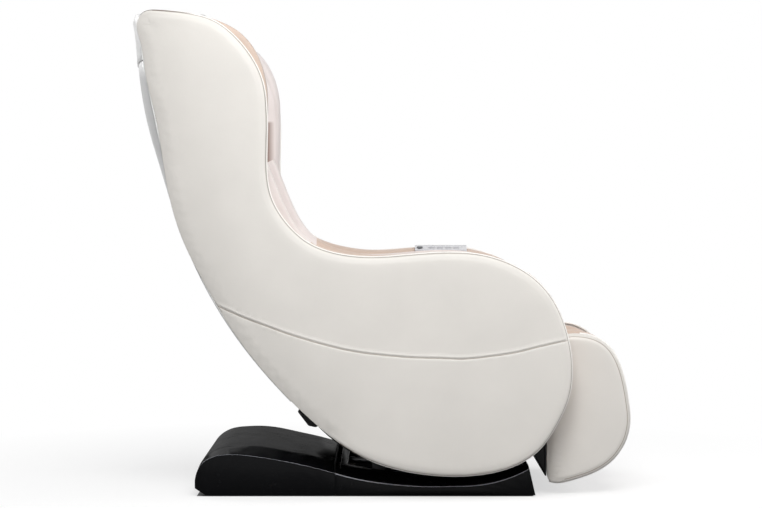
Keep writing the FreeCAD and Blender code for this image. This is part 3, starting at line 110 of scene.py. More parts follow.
class ChairColours(bpy.types.PropertyGroup):
    """Colours of the finishes."""
    pearl: colour_of("Outer panels", "Colour of the outer panels", (0.893, 0.878, 0.857))
    tan: colour_of("Edge bands", "Colour of the padded bands", (0.79, 0.708, 0.652))
    blush: colour_of("Pads", "Colour of the seat, back and arm pads", (0.875, 0.842, 0.832))
    # The beads' near white, lighter than the panels, is partly their own colour and partly painted highlight
    # for the light they catch
    seam: colour_of("Seams", "Colour of the sewn beads", (0.95, 0.94, 0.925))
    black: colour_of("Base", "Colour of the base mouldings", (0.04, 0.042, 0.05))
    grey: colour_of("Rear shell", "Colour of the rear shell and cap", (0.90, 0.90, 0.895))
    # Painted shade: dark brown laid on the wings' inner walls in the recess between arm and head
    lining_shade: colour_of("Lining_shade", "Colour of the lining below the wings", (0.52, 0.41, 0.36))
    # Used for the real dark seam lines, and for the dark beads that are painted shade beside the edge cord
    # and under the cap's rim
    thread_and_shade: colour_of("Threads", "Colour of the threads and dark seam lines", (0.33, 0.30, 0.28))
    silver: colour_of("Arm controls", "Colour of the control housing", (0.80, 0.80, 0.815))


def sizes():
    return bpy.context.scene.chair_sizes


def colours():
    return bpy.context.scene.chair_colours


def linear(colour):
    """A written colour as the shader's own values."""
    return tuple(c / 12.92 if c <= 0.04045 else ((c + 0.055) / 1.055) ** 2.4 for c in colour)


# Finishes

def node_of(tree, kind, **values):
    made = tree.nodes.new(kind)
    for key, value in values.items():
        if key in made.inputs:
            made.inputs[key].default_value = value
        else:
            setattr(made, key, value)
    return made


def blank_finish(name, roughness, metallic=0.0):
    finish = bpy.data.materials.new(name)
    finish.use_nodes = True
    tree = finish.node_tree
    shader = tree.nodes["Principled BSDF"]
    shader.inputs["Roughness"].default_value = roughness
    shader.inputs["Metallic"].default_value = metallic
    place = node_of(tree, "ShaderNodeTexCoord").outputs["Object"]
    return finish, tree, shader, place


def wired(tree, shader, colour, normal, roughness=None):
    """Lead a finish's colour, surface and roughness to its shader."""
    for name, value in (("Base Color", colour), ("Normal", normal), ("Roughness", roughness)):
        if value is not None:
            tree.links.new(value, shader.inputs[name])


def noise(tree, place, scale, detail=3.0, rough=0.5):
    made = node_of(tree, "ShaderNodeTexNoise", Scale=scale, Detail=detail, Roughness=rough)
    tree.links.new(place, made.inputs["Vector"])
    return made.outputs["Fac"]


def ranged(tree, value, low, high, start=0.0, end=1.0):
    made = node_of(tree, "ShaderNodeMapRange")
    made.inputs["From Min"].default_value = start
    made.inputs["From Max"].default_value = end
    made.inputs["To Min"].default_value = low
    made.inputs["To Max"].default_value = high
    tree.links.new(value, made.inputs["Value"])
    return made.outputs["Result"]


def mixed(tree, amount, first, second):
    made = node_of(tree, "ShaderNodeMix", data_type="RGBA")
    for socket, colour in ((6, first), (7, second)):
        made.inputs[socket].default_value = (*linear(colour), 1)
    tree.links.new(amount, made.inputs[0])
    return made.outputs[2]


def bumped(tree, height, strength, distance, below=None):
    made = node_of(tree, "ShaderNodeBump", Strength=strength, Distance=distance)
    tree.links.new(height, made.inputs["Height"])
    if below is not None:
        tree.links.new(below, made.inputs["Normal"])
    return made.outputs["Normal"]


def shaded(colour, part):
    return tuple(max(0.0, min(1.0, c * part)) for c in colour)


def of_attribute(tree, name):
    return node_of(tree, "ShaderNodeAttribute", attribute_name=name).outputs["Fac"]


def maths(tree, operation, first, second=None):
    made = node_of(tree, "ShaderNodeMath", operation=operation)
    for socket, value in zip(made.inputs, (first, second)):
        if isinstance(value, (int, float)):
            socket.default_value = value
        elif value is not None:
            tree.links.new(value, socket)
    return made.outputs[0]


def apart(tree, vector):
    """The X, Y and Z of a vector of the tree."""
    made = node_of(tree, "ShaderNodeSeparateXYZ")
    tree.links.new(vector, made.inputs[0])
    return made.outputs[0], made.outputs[1], made.outputs[2]


def product(tree, *values):
    """Several values of the tree multiplied."""
    made = values[0]
    for value in values[1:]:
        made = maths(tree, "MULTIPLY", made, value)
    return made


def near_to(tree, value, middle, half):
    """1 where a value lies at the middle, falling to 0 at half away."""
    away = maths(tree, "ABSOLUTE", maths(tree, "SUBTRACT", value, middle))
    return ranged(tree, away, 1.0, 0.0, 0.0, half)


def stitches(tree, gap, along, row):
    """A row of stitches at one distance from a seam."""
    beat = maths(tree, "FRACT", product(tree, along, STITCHES_PER_METRE))
    return product(tree, near_to(tree, gap, row, 0.0009), near_to(tree, beat, 0.5, 0.42))


def blended(tree, amount, first, second, kind="MIX"):
    """Two colours of the tree, the second as far as the amount."""
    made = node_of(tree, "ShaderNodeMix", data_type="RGBA", blend_type=kind)
    for socket, value in ((0, amount), (6, first), (7, second)):
        if isinstance(value, tuple):
            made.inputs[socket].default_value = (*linear(value), 1)
        else:
            tree.links.new(value, made.inputs[socket])
    return made.outputs[2]


def inner_border(tree, place):
    """How far a place lies inside the band's lengthwise seam, which runs further in along the arm."""
    _, y, z = apart(tree, place)
    border = ranged(tree, z, 0.258, 0.312, 0.60, 0.74)
    return maths(tree, "SUBTRACT", border, maths(tree, "ABSOLUTE", y))


def arm_part(tree, place):
    """How far a place lies forward of the seam that ends the arm pads' rear part."""
    return maths(tree, "SUBTRACT", apart(tree, place)[0], ARM_PAD_SEAM)


def rim_shade_part(tree, place):
    """How far a place lies outside the leg panels' sewn line, where the rim is painted a shade darker."""
    return maths(tree, "SUBTRACT", LEG_SEAM, of_attribute(tree, "edge_gap"))


def lining_shade_part(tree, place):
    """1 where painted shade darkens the wings' inner cover in the recess between arm and head, fading out
    towards the front; 0 above and below it.
    """
    x, _, z = apart(tree, place)
    below, above = ranged(tree, z, 1.0, 0.0, 0.852, 0.858), ranged(tree, z, 0.0, 1.0, 0.60, 0.66)
    return product(tree, below, above, ranged(tree, x, 1.0, 0.0, -0.280, -0.262))


def leather(name, colour, grain=1.0, roughness=0.44, seams=(), parts=None, second=None):
    """Fine-grained coated upholstery. A seam: attribute, its line's place, width and shade (painted shade,
    darkening the colour along the line), stitch row.
    """
    finish, tree, shader, place = blank_finish(name, roughness)
    mottle = noise(tree, place, 9.0, 4.0)
    tone = mixed(tree, ranged(tree, mottle, 0.0, 1.0, 0.3, 0.7), shaded(colour, 0.988), shaded(colour, 1.008))
    sewn = []
    if parts:
        share = parts(tree, place)
        narrow = 1.0 if parts is lining_shade_part else 0.0008
        tone = blended(tree, ranged(tree, share, 0.0, 1.0, 0.0, narrow), tone, second)
        if parts is inner_border:
            tone = blended(tree, near_to(tree, share, 0.0, 0.0016), tone, tuple(colours().thread_and_shade))
            sewn.append(product(tree, near_to(tree, share, 0.0, 0.0035), -1.0))
    # Each seam's line darkens the colour: painted shade along the crease
    for seam, line, width, shade, row in seams:
        gap = of_attribute(tree, seam + "_gap")
        tone = blended(tree, near_to(tree, gap, line, width), tone, shade, "MULTIPLY")
        if row:
            sewn.append(stitches(tree, gap, of_attribute(tree, seam + "_along"), row))
    cells = node_of(tree, "ShaderNodeTexVoronoi", feature="DISTANCE_TO_EDGE", Scale=820.0 * grain)
    tree.links.new(place, cells.inputs["Vector"])
    pores = ranged(tree, cells.outputs["Distance"], 0.0, 1.0, 0.0, 0.28)
    fine = bumped(tree, pores, 0.16, 0.00035)
    creases = bumped(tree, noise(tree, place, 160.0 * grain, 4.0, 0.6), 0.14, 0.0009, fine)
    surface = bumped(tree, noise(tree, place, 7.0, 2.0), 0.03, 0.006, creases)
    for row in sewn:
        surface = bumped(tree, row, 0.5, 0.0008, surface)
    wired(tree, shader, tone, surface,
          ranged(tree, noise(tree, place, 38.0, 3.0), roughness - 0.05, roughness + 0.07))
    shader.inputs["Specular IOR Level"].default_value = 0.42
    shader.inputs["Coat Weight"].default_value = 0.06
    shader.inputs["Coat Roughness"].default_value = 0.35
    return finish


def moulded(name, colour, roughness, texture=420.0, depth=0.00012, coat=0.0, sheen=0.5, grazing=None):
    """Moulded plastic with a fine texture, faint flow marks and handling dulling."""
    finish, tree, shader, place = blank_finish(name, roughness)
    flow = noise(tree, place, 6.0, 3.0)
    tone = mixed(tree, ranged(tree, flow, 0.0, 1.0, 0.3, 0.7), shaded(colour, 0.95), shaded(colour, 1.05))
    fine = bumped(tree, noise(tree, place, texture, 2.0), 0.25, depth)
    wavy = bumped(tree, noise(tree, place, 14.0, 2.0), 0.09 * roughness, 0.002, fine)
    wired(tree, shader, tone, wavy,
          ranged(tree, noise(tree, place, 24.0, 5.0, 0.6), roughness - 0.04, roughness + 0.08))
    shader.inputs["Coat Weight"].default_value = coat
    shader.inputs["Coat Roughness"].default_value = 0.12
    shader.inputs["Specular IOR Level"].default_value = sheen
    if grazing is not None:
        facing = node_of(tree, "ShaderNodeLayerWeight", Blend=0.5).outputs["Facing"]
        tree.links.new(ranged(tree, facing, sheen, grazing, 0.45, 0.8), shader.inputs["Specular IOR Level"])
    return finish


def stretched(tree, place, scale):
    """Places drawn out along one way, for a lay or a grain."""
    made = node_of(tree, "ShaderNodeMapping", Scale=scale)
    tree.links.new(place, made.inputs["Vector"])
    return made.outputs["Vector"]


def steel(name, colour, roughness, lay=(1.0, 30.0, 1.0), metallic=1.0):
    """Metal with a drawn or turned lay and slight tarnish."""
    finish, tree, shader, place = blank_finish(name, roughness, metallic)
    lines = noise(tree, stretched(tree, place, lay), 60.0, 4.0, 0.65)
    tone = mixed(tree, ranged(tree, lines, 0.0, 1.0, 0.3, 0.7), shaded(colour, 0.86), shaded(colour, 1.06))
    wired(tree, shader, tone, bumped(tree, lines, 0.22, 0.0002),
          ranged(tree, noise(tree, place, 18.0, 4.0), roughness - 0.06, roughness + 0.12))
    return finish


def plywood(name):
    """Pale plywood with plies along its edge."""
    finish, tree, shader, place = blank_finish(name, 0.65)
    grain = noise(tree, stretched(tree, place, (2.0, 60.0, 8.0)), 12.0, 5.0, 0.6)
    tone = mixed(tree, ranged(tree, grain, 0.0, 1.0, 0.3, 0.7), (0.78, 0.64, 0.46), (0.66, 0.50, 0.33))
    wired(tree, shader, tone, bumped(tree, grain, 0.3, 0.0004), ranged(tree, grain, 0.55, 0.75))
    return finish


def woven(name, colour, pitch):
    """Plain woven lining."""
    finish, tree, shader, place = blank_finish(name, 0.85)
    strands = []
    for direction in ("X", "Z"):
        wave = node_of(tree, "ShaderNodeTexWave", bands_direction=direction, Scale=pitch)
        wave.inputs["Distortion"].default_value = 0.6
        tree.links.new(place, wave.inputs["Vector"])
        strands.append(wave.outputs["Fac"])
    both = product(tree, *strands)
    tone = mixed(tree, both, shaded(colour, 0.9), shaded(colour, 1.05))
    wired(tree, shader, tone, bumped(tree, both, 0.4, 0.0004), ranged(tree, both, 0.78, 0.92))
    shader.inputs["Sheen Weight"].default_value = 0.2
    return finish


# Shaping helpers

def select_none():
    if bpy.context.object and bpy.context.object.mode != "OBJECT":
        bpy.ops.object.mode_set(mode="OBJECT")
    bpy.ops.object.select_all(action="DESELECT")


def only(thing):
    """Select and activate one object alone."""
    select_none()
    thing.select_set(True)
    bpy.context.view_layer.objects.active = thing


def new_piece(name, mesh):
    piece = bpy.data.objects.new(name, mesh)
    bpy.context.scene.collection.objects.link(piece)
    only(piece)
    return piece


def copy_of(name, *names):
    """One merged mesh from copies of CAD nodes."""
    shape = bmesh.new()
    for node in names:
        shape.from_mesh(NODES[node].data)
    bmesh.ops.remove_doubles(shape, verts=shape.verts, dist=1e-5)
    mesh = bpy.data.meshes.new(name)
    shape.to_mesh(mesh)
    shape.free()
    return new_piece(name, mesh)


def coordinates(mesh):
    places = np.zeros(len(mesh.vertices) * 3)
    mesh.vertices.foreach_get("co", places)
    return places.reshape(-1, 3)


def place_all(mesh, places):
    mesh.vertices.foreach_set("co", np.ascontiguousarray(places, float).ravel())
    mesh.update()


def normals(mesh):
    values = np.zeros(len(mesh.vertices) * 3, np.float32)
    mesh.vertex_normals.foreach_get("vector", values)
    return values.reshape(-1, 3)


def smooth_step(value, low, high):
    part = np.clip((value - low) / (high - low), 0, 1)
    return part * part * (3 - 2 * part)


def relaxed(piece, times, factor=0.5):
    """Even out the surface with a smoothing modifier that is applied."""
    only(piece)
    change = piece.modifiers.new("even", "SMOOTH")
    change.factor = factor
    change.iterations = times
    bpy.ops.object.modifier_apply(modifier=change.name)


def swollen(piece, held=(), cap=None, slack=0.003, levels=1):
    """Padding: an even mesh, drawn in by its slack, then swollen as far as the cap, held sides kept."""
    only(piece)
    piece.data.remesh_voxel_size = sizes().voxel
    bpy.ops.object.voxel_remesh()
    relaxed(piece, 6)
    rest, facing = coordinates(piece.data), normals(piece.data)
    free = np.ones(len(rest))
    for direction in held:
        free *= 1 - smooth_step(facing @ np.array(direction, float), 0.25, 0.75)
    rest -= facing * (slack * free)[:, None]
    place_all(piece.data, rest)
    cloth = piece.modifiers.new("swell", "CLOTH")
    cloth.settings.use_pressure = True
    cloth.settings.uniform_pressure_force = PADDING_PRESSURE
    cloth.settings.effector_weights.gravity = 0
    cloth.settings.quality = 4
    cloth.collision_settings.use_collision = False
    cloth.point_cache.frame_start = 1
    cloth.point_cache.frame_end = sizes().frames
    scene = bpy.context.scene
    for step in range(1, sizes().frames + 1):
        scene.frame_set(step)
    shape = piece.evaluated_get(bpy.context.evaluated_depsgraph_get()).to_mesh()
    moved = coordinates(shape) - rest
    piece.evaluated_get(bpy.context.evaluated_depsgraph_get()).to_mesh_clear()
    piece.modifiers.remove(cloth)
    scene.frame_set(1)
    length = np.linalg.norm(moved, axis=1)
    limit = cap if cap is not None else sizes().swell
    part = np.where(length > 1e-9, limit * np.tanh(length / limit) / np.maximum(length, 1e-9), 0)
    place_all(piece.data, rest + moved * (part * free)[:, None])
    relaxed(piece, 3)
    if levels:
        only(piece)
        finer = piece.modifiers.new("finer", "SUBSURF")
        finer.levels = levels
        finer.render_levels = levels
        bpy.ops.object.modifier_apply(modifier=finer.name)
    bpy.ops.object.shade_smooth()
    return piece


def dressed(piece, body, slot, finish, *stands_for):
    piece.data.materials.clear()
    piece.data.materials.append(finish)
    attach(piece, body)
    if stands_for:
        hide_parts(*stands_for)
    return piece


def finished_node(name, finish, edge=0.0012, highlight=None):
    """Give a CAD node its finish, and rounded edges that catch the light, in a second finish if one is given,
    such as the base's painted highlight.
    """
    node = NODES[name]
    node.data.materials.clear()
    node.data.materials.append(finish)
    for face in node.data.polygons:
        face.use_smooth = True
        face.material_index = 0
    weld = node.modifiers.new("weld", "WELD")
    weld.merge_threshold = 0.00002
    bevel = node.modifiers.new("edge", "BEVEL")
    bevel.width = edge
    bevel.segments = 2
    bevel.limit_method = "ANGLE"
    bevel.angle_limit = math.radians(34)
    bevel.harden_normals = True
    bevel.use_clamp_overlap = True
    if highlight:
        node.data.materials.append(highlight)
        bevel.material = 1
        bevel.angle_limit = math.radians(22)
    return node


def even_loop(places, count):
    """Points at even steps along a closed run."""
    closed = np.vstack([places, places[:1]])
    steps = np.linalg.norm(np.diff(closed, axis=0), axis=1)
    along = np.concatenate([[0], np.cumsum(steps)])
    wanted = np.linspace(0, along[-1], count, endpoint=False)
    return np.column_stack([np.interp(wanted, along, closed[:, axis]) for axis in range(closed.shape[1])])


def face_outline(node, plane, count):
    """The outline of a CAD node's flat face on one Y plane, clockwise seen from -Y."""
    shape = bmesh.new()
    shape.from_mesh(NODES[node].data)
    bmesh.ops.remove_doubles(shape, verts=shape.verts, dist=1e-5)
    flat = [f for f in shape.faces if all(abs(v.co.y - plane) < 2e-4 for v in f.verts)]
    inside = set(flat)
    rim = {}
    for face in flat:
        for edge in face.edges:
            if sum(other in inside for other in edge.link_faces) == 1:
                a, b = edge.verts
                rim.setdefault(a.index, []).append(b.index)
                rim.setdefault(b.index, []).append(a.index)
    shape.verts.ensure_lookup_table()
    start = next(iter(rim))
    order = [start]
    before, here = None, start
    while True:
        step = [n for n in rim[here] if n != before]
        if not step or step[0] == start:
            break
        before, here = here, step[0]
        order.append(here)
    points = np.array([(shape.verts[i].co.x, shape.verts[i].co.z) for i in order])
    shape.free()
    points = even_loop(points, count)
    area = np.sum(points[:, 0] * np.roll(points[:, 1], -1) - np.roll(points[:, 0], -1) * points[:, 1])
    return points if area > 0 else points[::-1]


def run_distance(places, run):
    """Distance of each place to an open run of points, with the side it lies on."""
    best = np.full(len(places), 9.0)
    signed = np.zeros(len(places))
    for a, b in zip(run[:-1], run[1:]):
        along = b - a
        length = float(along @ along)
        part = np.clip(((places - a) @ along) / length, 0, 1)
        near = a + part[:, None] * along
        gap = np.linalg.norm(places - near, axis=1)
        side = along[0] * (places[:, 1] - a[1]) - along[1] * (places[:, 0] - a[0])
        closer = gap < best
        best = np.where(closer, gap, best)
        signed = np.where(closer, np.sign(side), signed)
    return best * signed


def bowed_panel(name, rim, plane, depth, widths, seam, rear_run, groove=(0.0095, 0.0)):
    """A panel crowned towards -Y over an outline, with a sewn seam across it and a soft rear."""
    count = len(rim)
    before, after = np.roll(rim, 1, axis=0), np.roll(rim, -1, axis=0)
    along = after - before
    along /= np.linalg.norm(along, axis=1)[:, None]
    inward = np.column_stack([-along[:, 1], along[:, 0]])
    points = [rim]
    for distance in RING_GAPS:
        ring = rim + inward * distance
        points.append(ring[within(ring, rim) & (nearest_gap(ring, rim)[0] > 0.96 * distance)])
    low, high = rim.min(0), rim.max(0)
    across, up = np.meshgrid(np.arange(low[0], high[0], PANEL_GRID), np.arange(low[1], high[1], PANEL_GRID))
    across[::2] += PANEL_GRID / 2
    grid = np.column_stack([across.ravel(), up.ravel()])
    gap = nearest_gap(grid, rim)[0]
    inside = within(grid, rim)
    points.append(grid[inside & (gap > 0.031)])
    if seam is not None:
        dense = smooth_run(seam, 220)
        turn = np.gradient(dense, axis=0)
        turn /= np.linalg.norm(turn, axis=1)[:, None]
        beside = np.column_stack([-turn[:, 1], turn[:, 0]])
        for offset in SEAM_ROWS:
            row = dense + beside * offset
            points.append(row[within(row, rim) & (nearest_gap(row, rim)[0] > 0.002)])
    points = np.vstack(points)
    flat = [Vector(p) for p in points]
    edges = [(i, (i + 1) % count) for i in range(count)]
    verts, _, faces, *_ = delaunay_2d_cdt(flat, edges, [list(range(count))], 1, 1e-6)
    flat = np.array([(v.x, v.y) for v in verts])
    gap, nearest = nearest_gap(flat, rim)
    gap[gap < 1e-5] = 0
    front, rear = widths
    height = (1 - (1 - np.clip(gap / front, 0, 1)) ** 3) ** (1 / 3)
    away = np.abs(run_distance(flat, rear_run))
    height *= 1 - 0.9 * (1 - np.clip(away / rear, 0, 1)) ** 2.2
    piped = smooth_step(away - gap, 0.0, 0.03)
    height = height * depth + sizes().crown * (1 - np.exp(-gap / 0.09))
    height = evened(flat, faces, height, smooth_step(gap, 0.010, 0.040), 90)
    height -= (0.0007 + groove[1]) * np.exp(-((gap - groove[0]) / 0.0020) ** 2) * piped
    height += 0.0006 * np.exp(-((gap - groove[0] + 0.004) / 0.002) ** 2) * piped
    off = np.full(len(flat), 1.0)
    if seam is not None:
        off = run_distance(flat, dense)
        height -= 0.0017 * np.exp(-((off + 0.0022) / 0.0021) ** 2) * smooth_step(gap, 0.0, 0.01)
        height += 0.0012 * np.exp(-((off - 0.0020) / 0.0028) ** 2) * smooth_step(gap, 0.0, 0.01)
    places = [(x, plane - h, z) for (x, z), h in zip(flat, height)]
    mesh = bpy.data.meshes.new(name)
    shape = bmesh.new()
    # Distances to the rim and seam: the finish draws stitches and painted shade lines from them
    keys = ("edge_gap", "edge_along", "seam_gap", "seam_along")
    for key in keys:
        shape.verts.layers.float.new(key)
    layers = {key: shape.verts.layers.float[key] for key in keys}
    made = [shape.verts.new(p) for p in places]
    run_length = np.concatenate([[0], np.cumsum(np.linalg.norm(np.diff(rim, axis=0), axis=1))])
    for vert, edge, far, line, (x, z) in zip(made, gap + 0.4 * (1 - piped), run_length[nearest], off, flat):
        vert[layers["edge_gap"]] = edge
        vert[layers["edge_along"]] = far
        vert[layers["seam_gap"]] = line
        vert[layers["seam_along"]] = x
    for face in faces:
        shape.faces.new([made[i] for i in face])
    rim_edges = [e for e in shape.edges if e.is_boundary]
    back = bmesh.ops.extrude_edge_only(shape, edges=rim_edges)
    for vert in (g for g in back["geom"] if isinstance(g, bmesh.types.BMVert)):
        vert.co.y = plane + 0.0002
    loop = [g for g in back["geom"] if isinstance(g, bmesh.types.BMEdge) and g.is_boundary]
    bmesh.ops.contextual_create(shape, geom=loop)
    bmesh.ops.recalc_face_normals(shape, faces=shape.faces)
    shape.to_mesh(mesh)
    shape.free()
    piece = new_piece(name, mesh)
    bpy.ops.object.shade_smooth_by_angle(angle=math.radians(60))
    return piece


def evened(flat, faces, height, freedom, times):
    """Heights smoothed over the mesh, each as far as its freedom."""
    pairs = np.array([(f[i], f[i - 1]) for f in faces for i in range(len(f))])
    pairs = np.vstack([pairs, pairs[:, ::-1]])
    count = np.bincount(pairs[:, 0], minlength=len(flat))
    for _ in range(times):
        total = np.bincount(pairs[:, 0], height[pairs[:, 1]], len(flat))
        height = height + freedom * 0.6 * (total / np.maximum(count, 1) - height)
    return height


def rim_run(rim, start, end, through):
    """The part of a closed outline from start to end that passes nearest to a third place."""
    first = int(np.argmin(np.linalg.norm(rim - start, axis=1)))
    turned = np.roll(rim, -first, axis=0)
    last = int(np.argmin(np.linalg.norm(turned - end, axis=1)))
    middle = int(np.argmin(np.linalg.norm(turned - through, axis=1)))
    if middle <= last:
        return turned[:last + 1]
    return np.vstack([turned[last:], turned[:1]])[::-1]


def moved_out(run, distance, towards, level):
    """Places beside a run of the outline, on the side that a direction names and at one Y level."""
    outward = np.gradient(run, axis=0)
    outward = np.column_stack([outward[:, 1], -outward[:, 0]])
    outward /= np.linalg.norm(outward, axis=1)[:, None]
    outward *= np.sign(np.sum(outward[len(run) // 2] * np.array(towards)))
    return [(x, level, z) for x, z in run + outward * distance]


def nearest_gap(places, rim):
    """Distance to a closed outline, and the outline point that is nearest."""
    closed = np.vstack([rim, rim[:1]])
    best = np.full(len(places), 9.0)
    index = np.zeros(len(places), int)
    for number in range(len(rim)):
        a, b = closed[number], closed[number + 1]
        along = b - a
        part = np.clip(((places - a) @ along) / float(along @ along), 0, 1)
        gap = np.hypot(*(places - a - part[:, None] * along).T)
        closer = gap < best
        best[closer] = gap[closer]
        index[closer] = number
    return best, index


def within(places, rim):
    closed = np.vstack([rim, rim[:1]])
    inside = np.zeros(len(places), bool)
    for a, b in zip(closed[:-1], closed[1:]):
        straddles = (a[1] > places[:, 1]) != (b[1] > places[:, 1])
        if not straddles.any():
            continue
        cross = a[0] + (places[:, 1] - a[1]) * (b[0] - a[0]) / ((b[1] - a[1]) or 1e-12)
        inside ^= straddles & (places[:, 0] < cross)
    return inside


def smooth_run(points, count):
    """Points at even steps along a smooth open run."""
    points = np.asarray(points, float)
    ends = np.vstack([2 * points[0] - points[1], points, 2 * points[-1] - points[-2]])
    made = []
    for i in range(1, len(ends) - 2):
        p0, p1, p2, p3 = ends[i - 1:i + 3]
        for t in np.linspace(0, 1, 24, endpoint=False):
            made.append(0.5 * (2 * p1 + (p2 - p0) * t + (2 * p0 - 5 * p1 + 4 * p2 - p3) * t ** 2
                               + (3 * p1 - p0 - 3 * p2 + p3) * t ** 3))
    made.append(ends[-2])
    made = np.array(made)
    along = np.concatenate([[0], np.cumsum(np.linalg.norm(np.diff(made, axis=0), axis=1))])
    wanted = np.linspace(0, along[-1], count)
    return np.column_stack([np.interp(wanted, along, made[:, axis]) for axis in range(made.shape[1])])


def bead(name, run, radius, last=1.0):
    """A round sewn bead along a run of places, drawn thin at both ends and to a last part of its radius."""
    curve = bpy.data.curves.new(name, "CURVE")
    curve.dimensions = "3D"
    spline = curve.splines.new("POLY")
    spline.points.add(len(run) - 1)
    for number, (point, place) in enumerate(zip(spline.points, run)):
        point.co = (*place, 1)
        narrowed = 1.0 + (last - 1.0) * number / (len(run) - 1)
        point.radius = narrowed * min(1.0, 0.2 + 0.1 * min(number, len(run) - 1 - number))
    curve.bevel_depth = radius
    curve.bevel_resolution = 3
    curve.use_fill_caps = True
    piece = bpy.data.objects.new(name, curve)
    bpy.context.scene.collection.objects.link(piece)
    only(piece)
    bpy.ops.object.convert(target="MESH")
    bpy.ops.object.shade_smooth()
    return piece


def mirrored_copy(piece, name):
    mesh = piece.data.copy()
    mesh.name = name
    mesh.transform(Matrix.Diagonal((1, -1, 1, 1)))
    mesh.flip_normals()
    return new_piece(name, mesh)


# The pieces

class CHAIR_OT_side_panels(bpy.types.Operator):
    """Crowned outer panels with a sewn seam across the lower part"""
    bl_idname = "chair.side_panels"
    bl_label = "Outer side panels"

    def execute(self, context):
        # The rim's dark line and the dark line below the cross seam's bead are painted shade, where cord and
        # bead cast shadow
        finish = leather("pearl_upholstery", colours().pearl,
                         seams=(("edge", 0.0006, 0.0022, (0.60, 0.56, 0.53), 0.0095),
                                ("seam", -0.0026, 0.0015, (0.76, 0.72, 0.69), 0.0075)))
        # The cord's near white is partly painted highlight
        cord = leather("edge_bead", colours().seam, 1.4)
        shade_thread_finish = leather("edge_shade_thread", colours().thread_and_shade, 3.0, 0.6)
        welt_shade_finish = leather("corner_welt_shade", shaded(colours().thread_and_shade, 1.5), 3.0, 0.6)
        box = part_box("right_side_panel")
        rim = face_outline("right_side_panel", box[1].y, 460)
        rear = rim_run(rim, (-0.537, 1.068), (-0.120, 0.142), (-0.480, 0.800))
        panel = bowed_panel("right_outer_panel", rim, box[1].y, PANEL_DEPTH,
                            (sizes().front_round, sizes().rear_round), PANEL_SEAM, rear)
        run = rim_run(rim, (-0.537, 1.076), (-0.060, 0.104), (0.420, 0.290))
        front, level = (1.0, -0.2), box[1].y + 0.0022
        strip = bead("right_edge_cord", moved_out(run, 0.0006, front, level), sizes().bead)
        # A dark bead beside the cord and beneath it: painted shade of the gap between cord and band
        beside = 0.0006 + 0.78 * sizes().bead
        beneath = level - 0.68 * sizes().bead
        thread_and_shade = bead("right_edge_shade_thread", moved_out(run, beside, front, beneath), sizes().thread_and_shade)
        # A dark cord along the top rim by the rear corner: painted shade of the gap under the cap
        corner = rim_run(rim, (-0.5332, 1.0657), (-0.4130, 1.0716), (-0.4800, 1.0795))
        welt_shade = bead("right_corner_welt_shade", moved_out(corner, 0.0006, (0, 1), box[1].y - 0.0015), 0.0014, 0.35)
        left = mirrored_copy(panel, "left_outer_panel")
        left_strip = mirrored_copy(strip, "left_edge_cord")
        for piece, name, sewn in ((welt_shade, "left_corner_welt_shade", welt_shade_finish), (thread_and_shade, "left_edge_shade_thread", shade_thread_finish)):
            dressed(mirrored_copy(piece, name), "chair_body", "piping_fabric", sewn)
            dressed(piece, "chair_body", "piping_fabric", sewn)
        for piece, side in ((panel, "right"), (left, "left")):
            dressed(piece, "chair_body", "pearl_fabric", finish, f"{side}_side_panel")
        dressed(strip, "chair_body", "piping_fabric", cord, "edge_piping")
        dressed(left_strip, "chair_body", "piping_fabric", cord)
        return {"FINISHED"}


class CHAIR_OT_edge_bands(bpy.types.Operator):
    """Padded bands round the edge of both side bodies"""
    bl_idname = "chair.edge_bands"
    bl_label = "Edge bands"

    def execute(self, context):
        finish = leather("tan_upholstery", colours().tan, parts=inner_border, second=tuple(colours().blush))
        band = swollen(copy_of("right_padded_band", "right_edge_band"), held=((0, -1, 0),), cap=0.004)
        left = mirrored_copy(band, "left_padded_band")
        sink_below(left, panel_frame(), (0.0650, 0.0220), -0.0125)
        dressed(band, "chair_body", "band_leather", finish, "right_edge_band")
        dressed(left, "chair_body", "band_leather", finish, "left_edge_band")
        return {"FINISHED"}


def panel_frame():
    """Place and tilt of the arm controls."""
    tilt = math.radians(17)
    top = Vector((0.148, 0.280, 0.545))
    return Matrix.Translation(top) @ Matrix.Rotation(tilt, 4, "X")


def sink_below(piece, place, half, depth):
    """Press the padding down where a housing sits in it."""
    local = np.array([place.inverted() @ Vector(p) for p in coordinates(piece.data)])
    over = (abs(local[:, 0]) < half[0]) & (abs(local[:, 1]) < half[1]) & (local[:, 2] > depth)
    local[over, 2] = depth
    place_all(piece.data, np.array([place @ Vector(p) for p in local]))


class CHAIR_OT_arm_pads(bpy.types.Operator):
    """Soft pads along the arms, and the linings of the wings, with painted shade in the recess below the head
    """
    bl_idname = "chair.arm_pads"
    bl_label = "Arm pads"

    def execute(self, context):
        finish = leather("blush_pads", colours().blush, parts=arm_part, second=tuple(colours().tan))
        pads = swollen(copy_of("arm_pads", "side_bolsters"), cap=0.006)
        keep_between(pads, 0.2557)
        dressed(pads, "chair_body", "pad_leather", finish, "side_bolsters")
        # The inner walls are darkened to brown in the recess below the head, where shade falls: painted shade
        lining_shade = leather("wing_lining_shade", colours().blush, parts=lining_shade_part, second=tuple(colours().lining_shade))
        finished_node("inner_walls", lining_shade, 0.002)
        return {"FINISHED"}


def keep_between(piece, half):
    """Hold a padded piece between the walls beside it."""
    places = coordinates(piece.data)
    places[:, 1] = np.clip(places[:, 1], -half, half)
    place_all(piece.data, places)


def channel(piece, gap_of, depth, width):
    """Draw a sewn channel into padding along the line where gap_of is nought."""
    places = coordinates(piece.data)
    facing = normals(piece.data)
    gap, part = gap_of(places, facing)
    press = depth * np.exp(-(gap / width) ** 2) * part
    puff = depth * 0.35 * np.exp(-((np.abs(gap) - 3.2 * width) / (1.6 * width)) ** 2) * part
    place_all(piece.data, places + facing * (puff - press)[:, None])


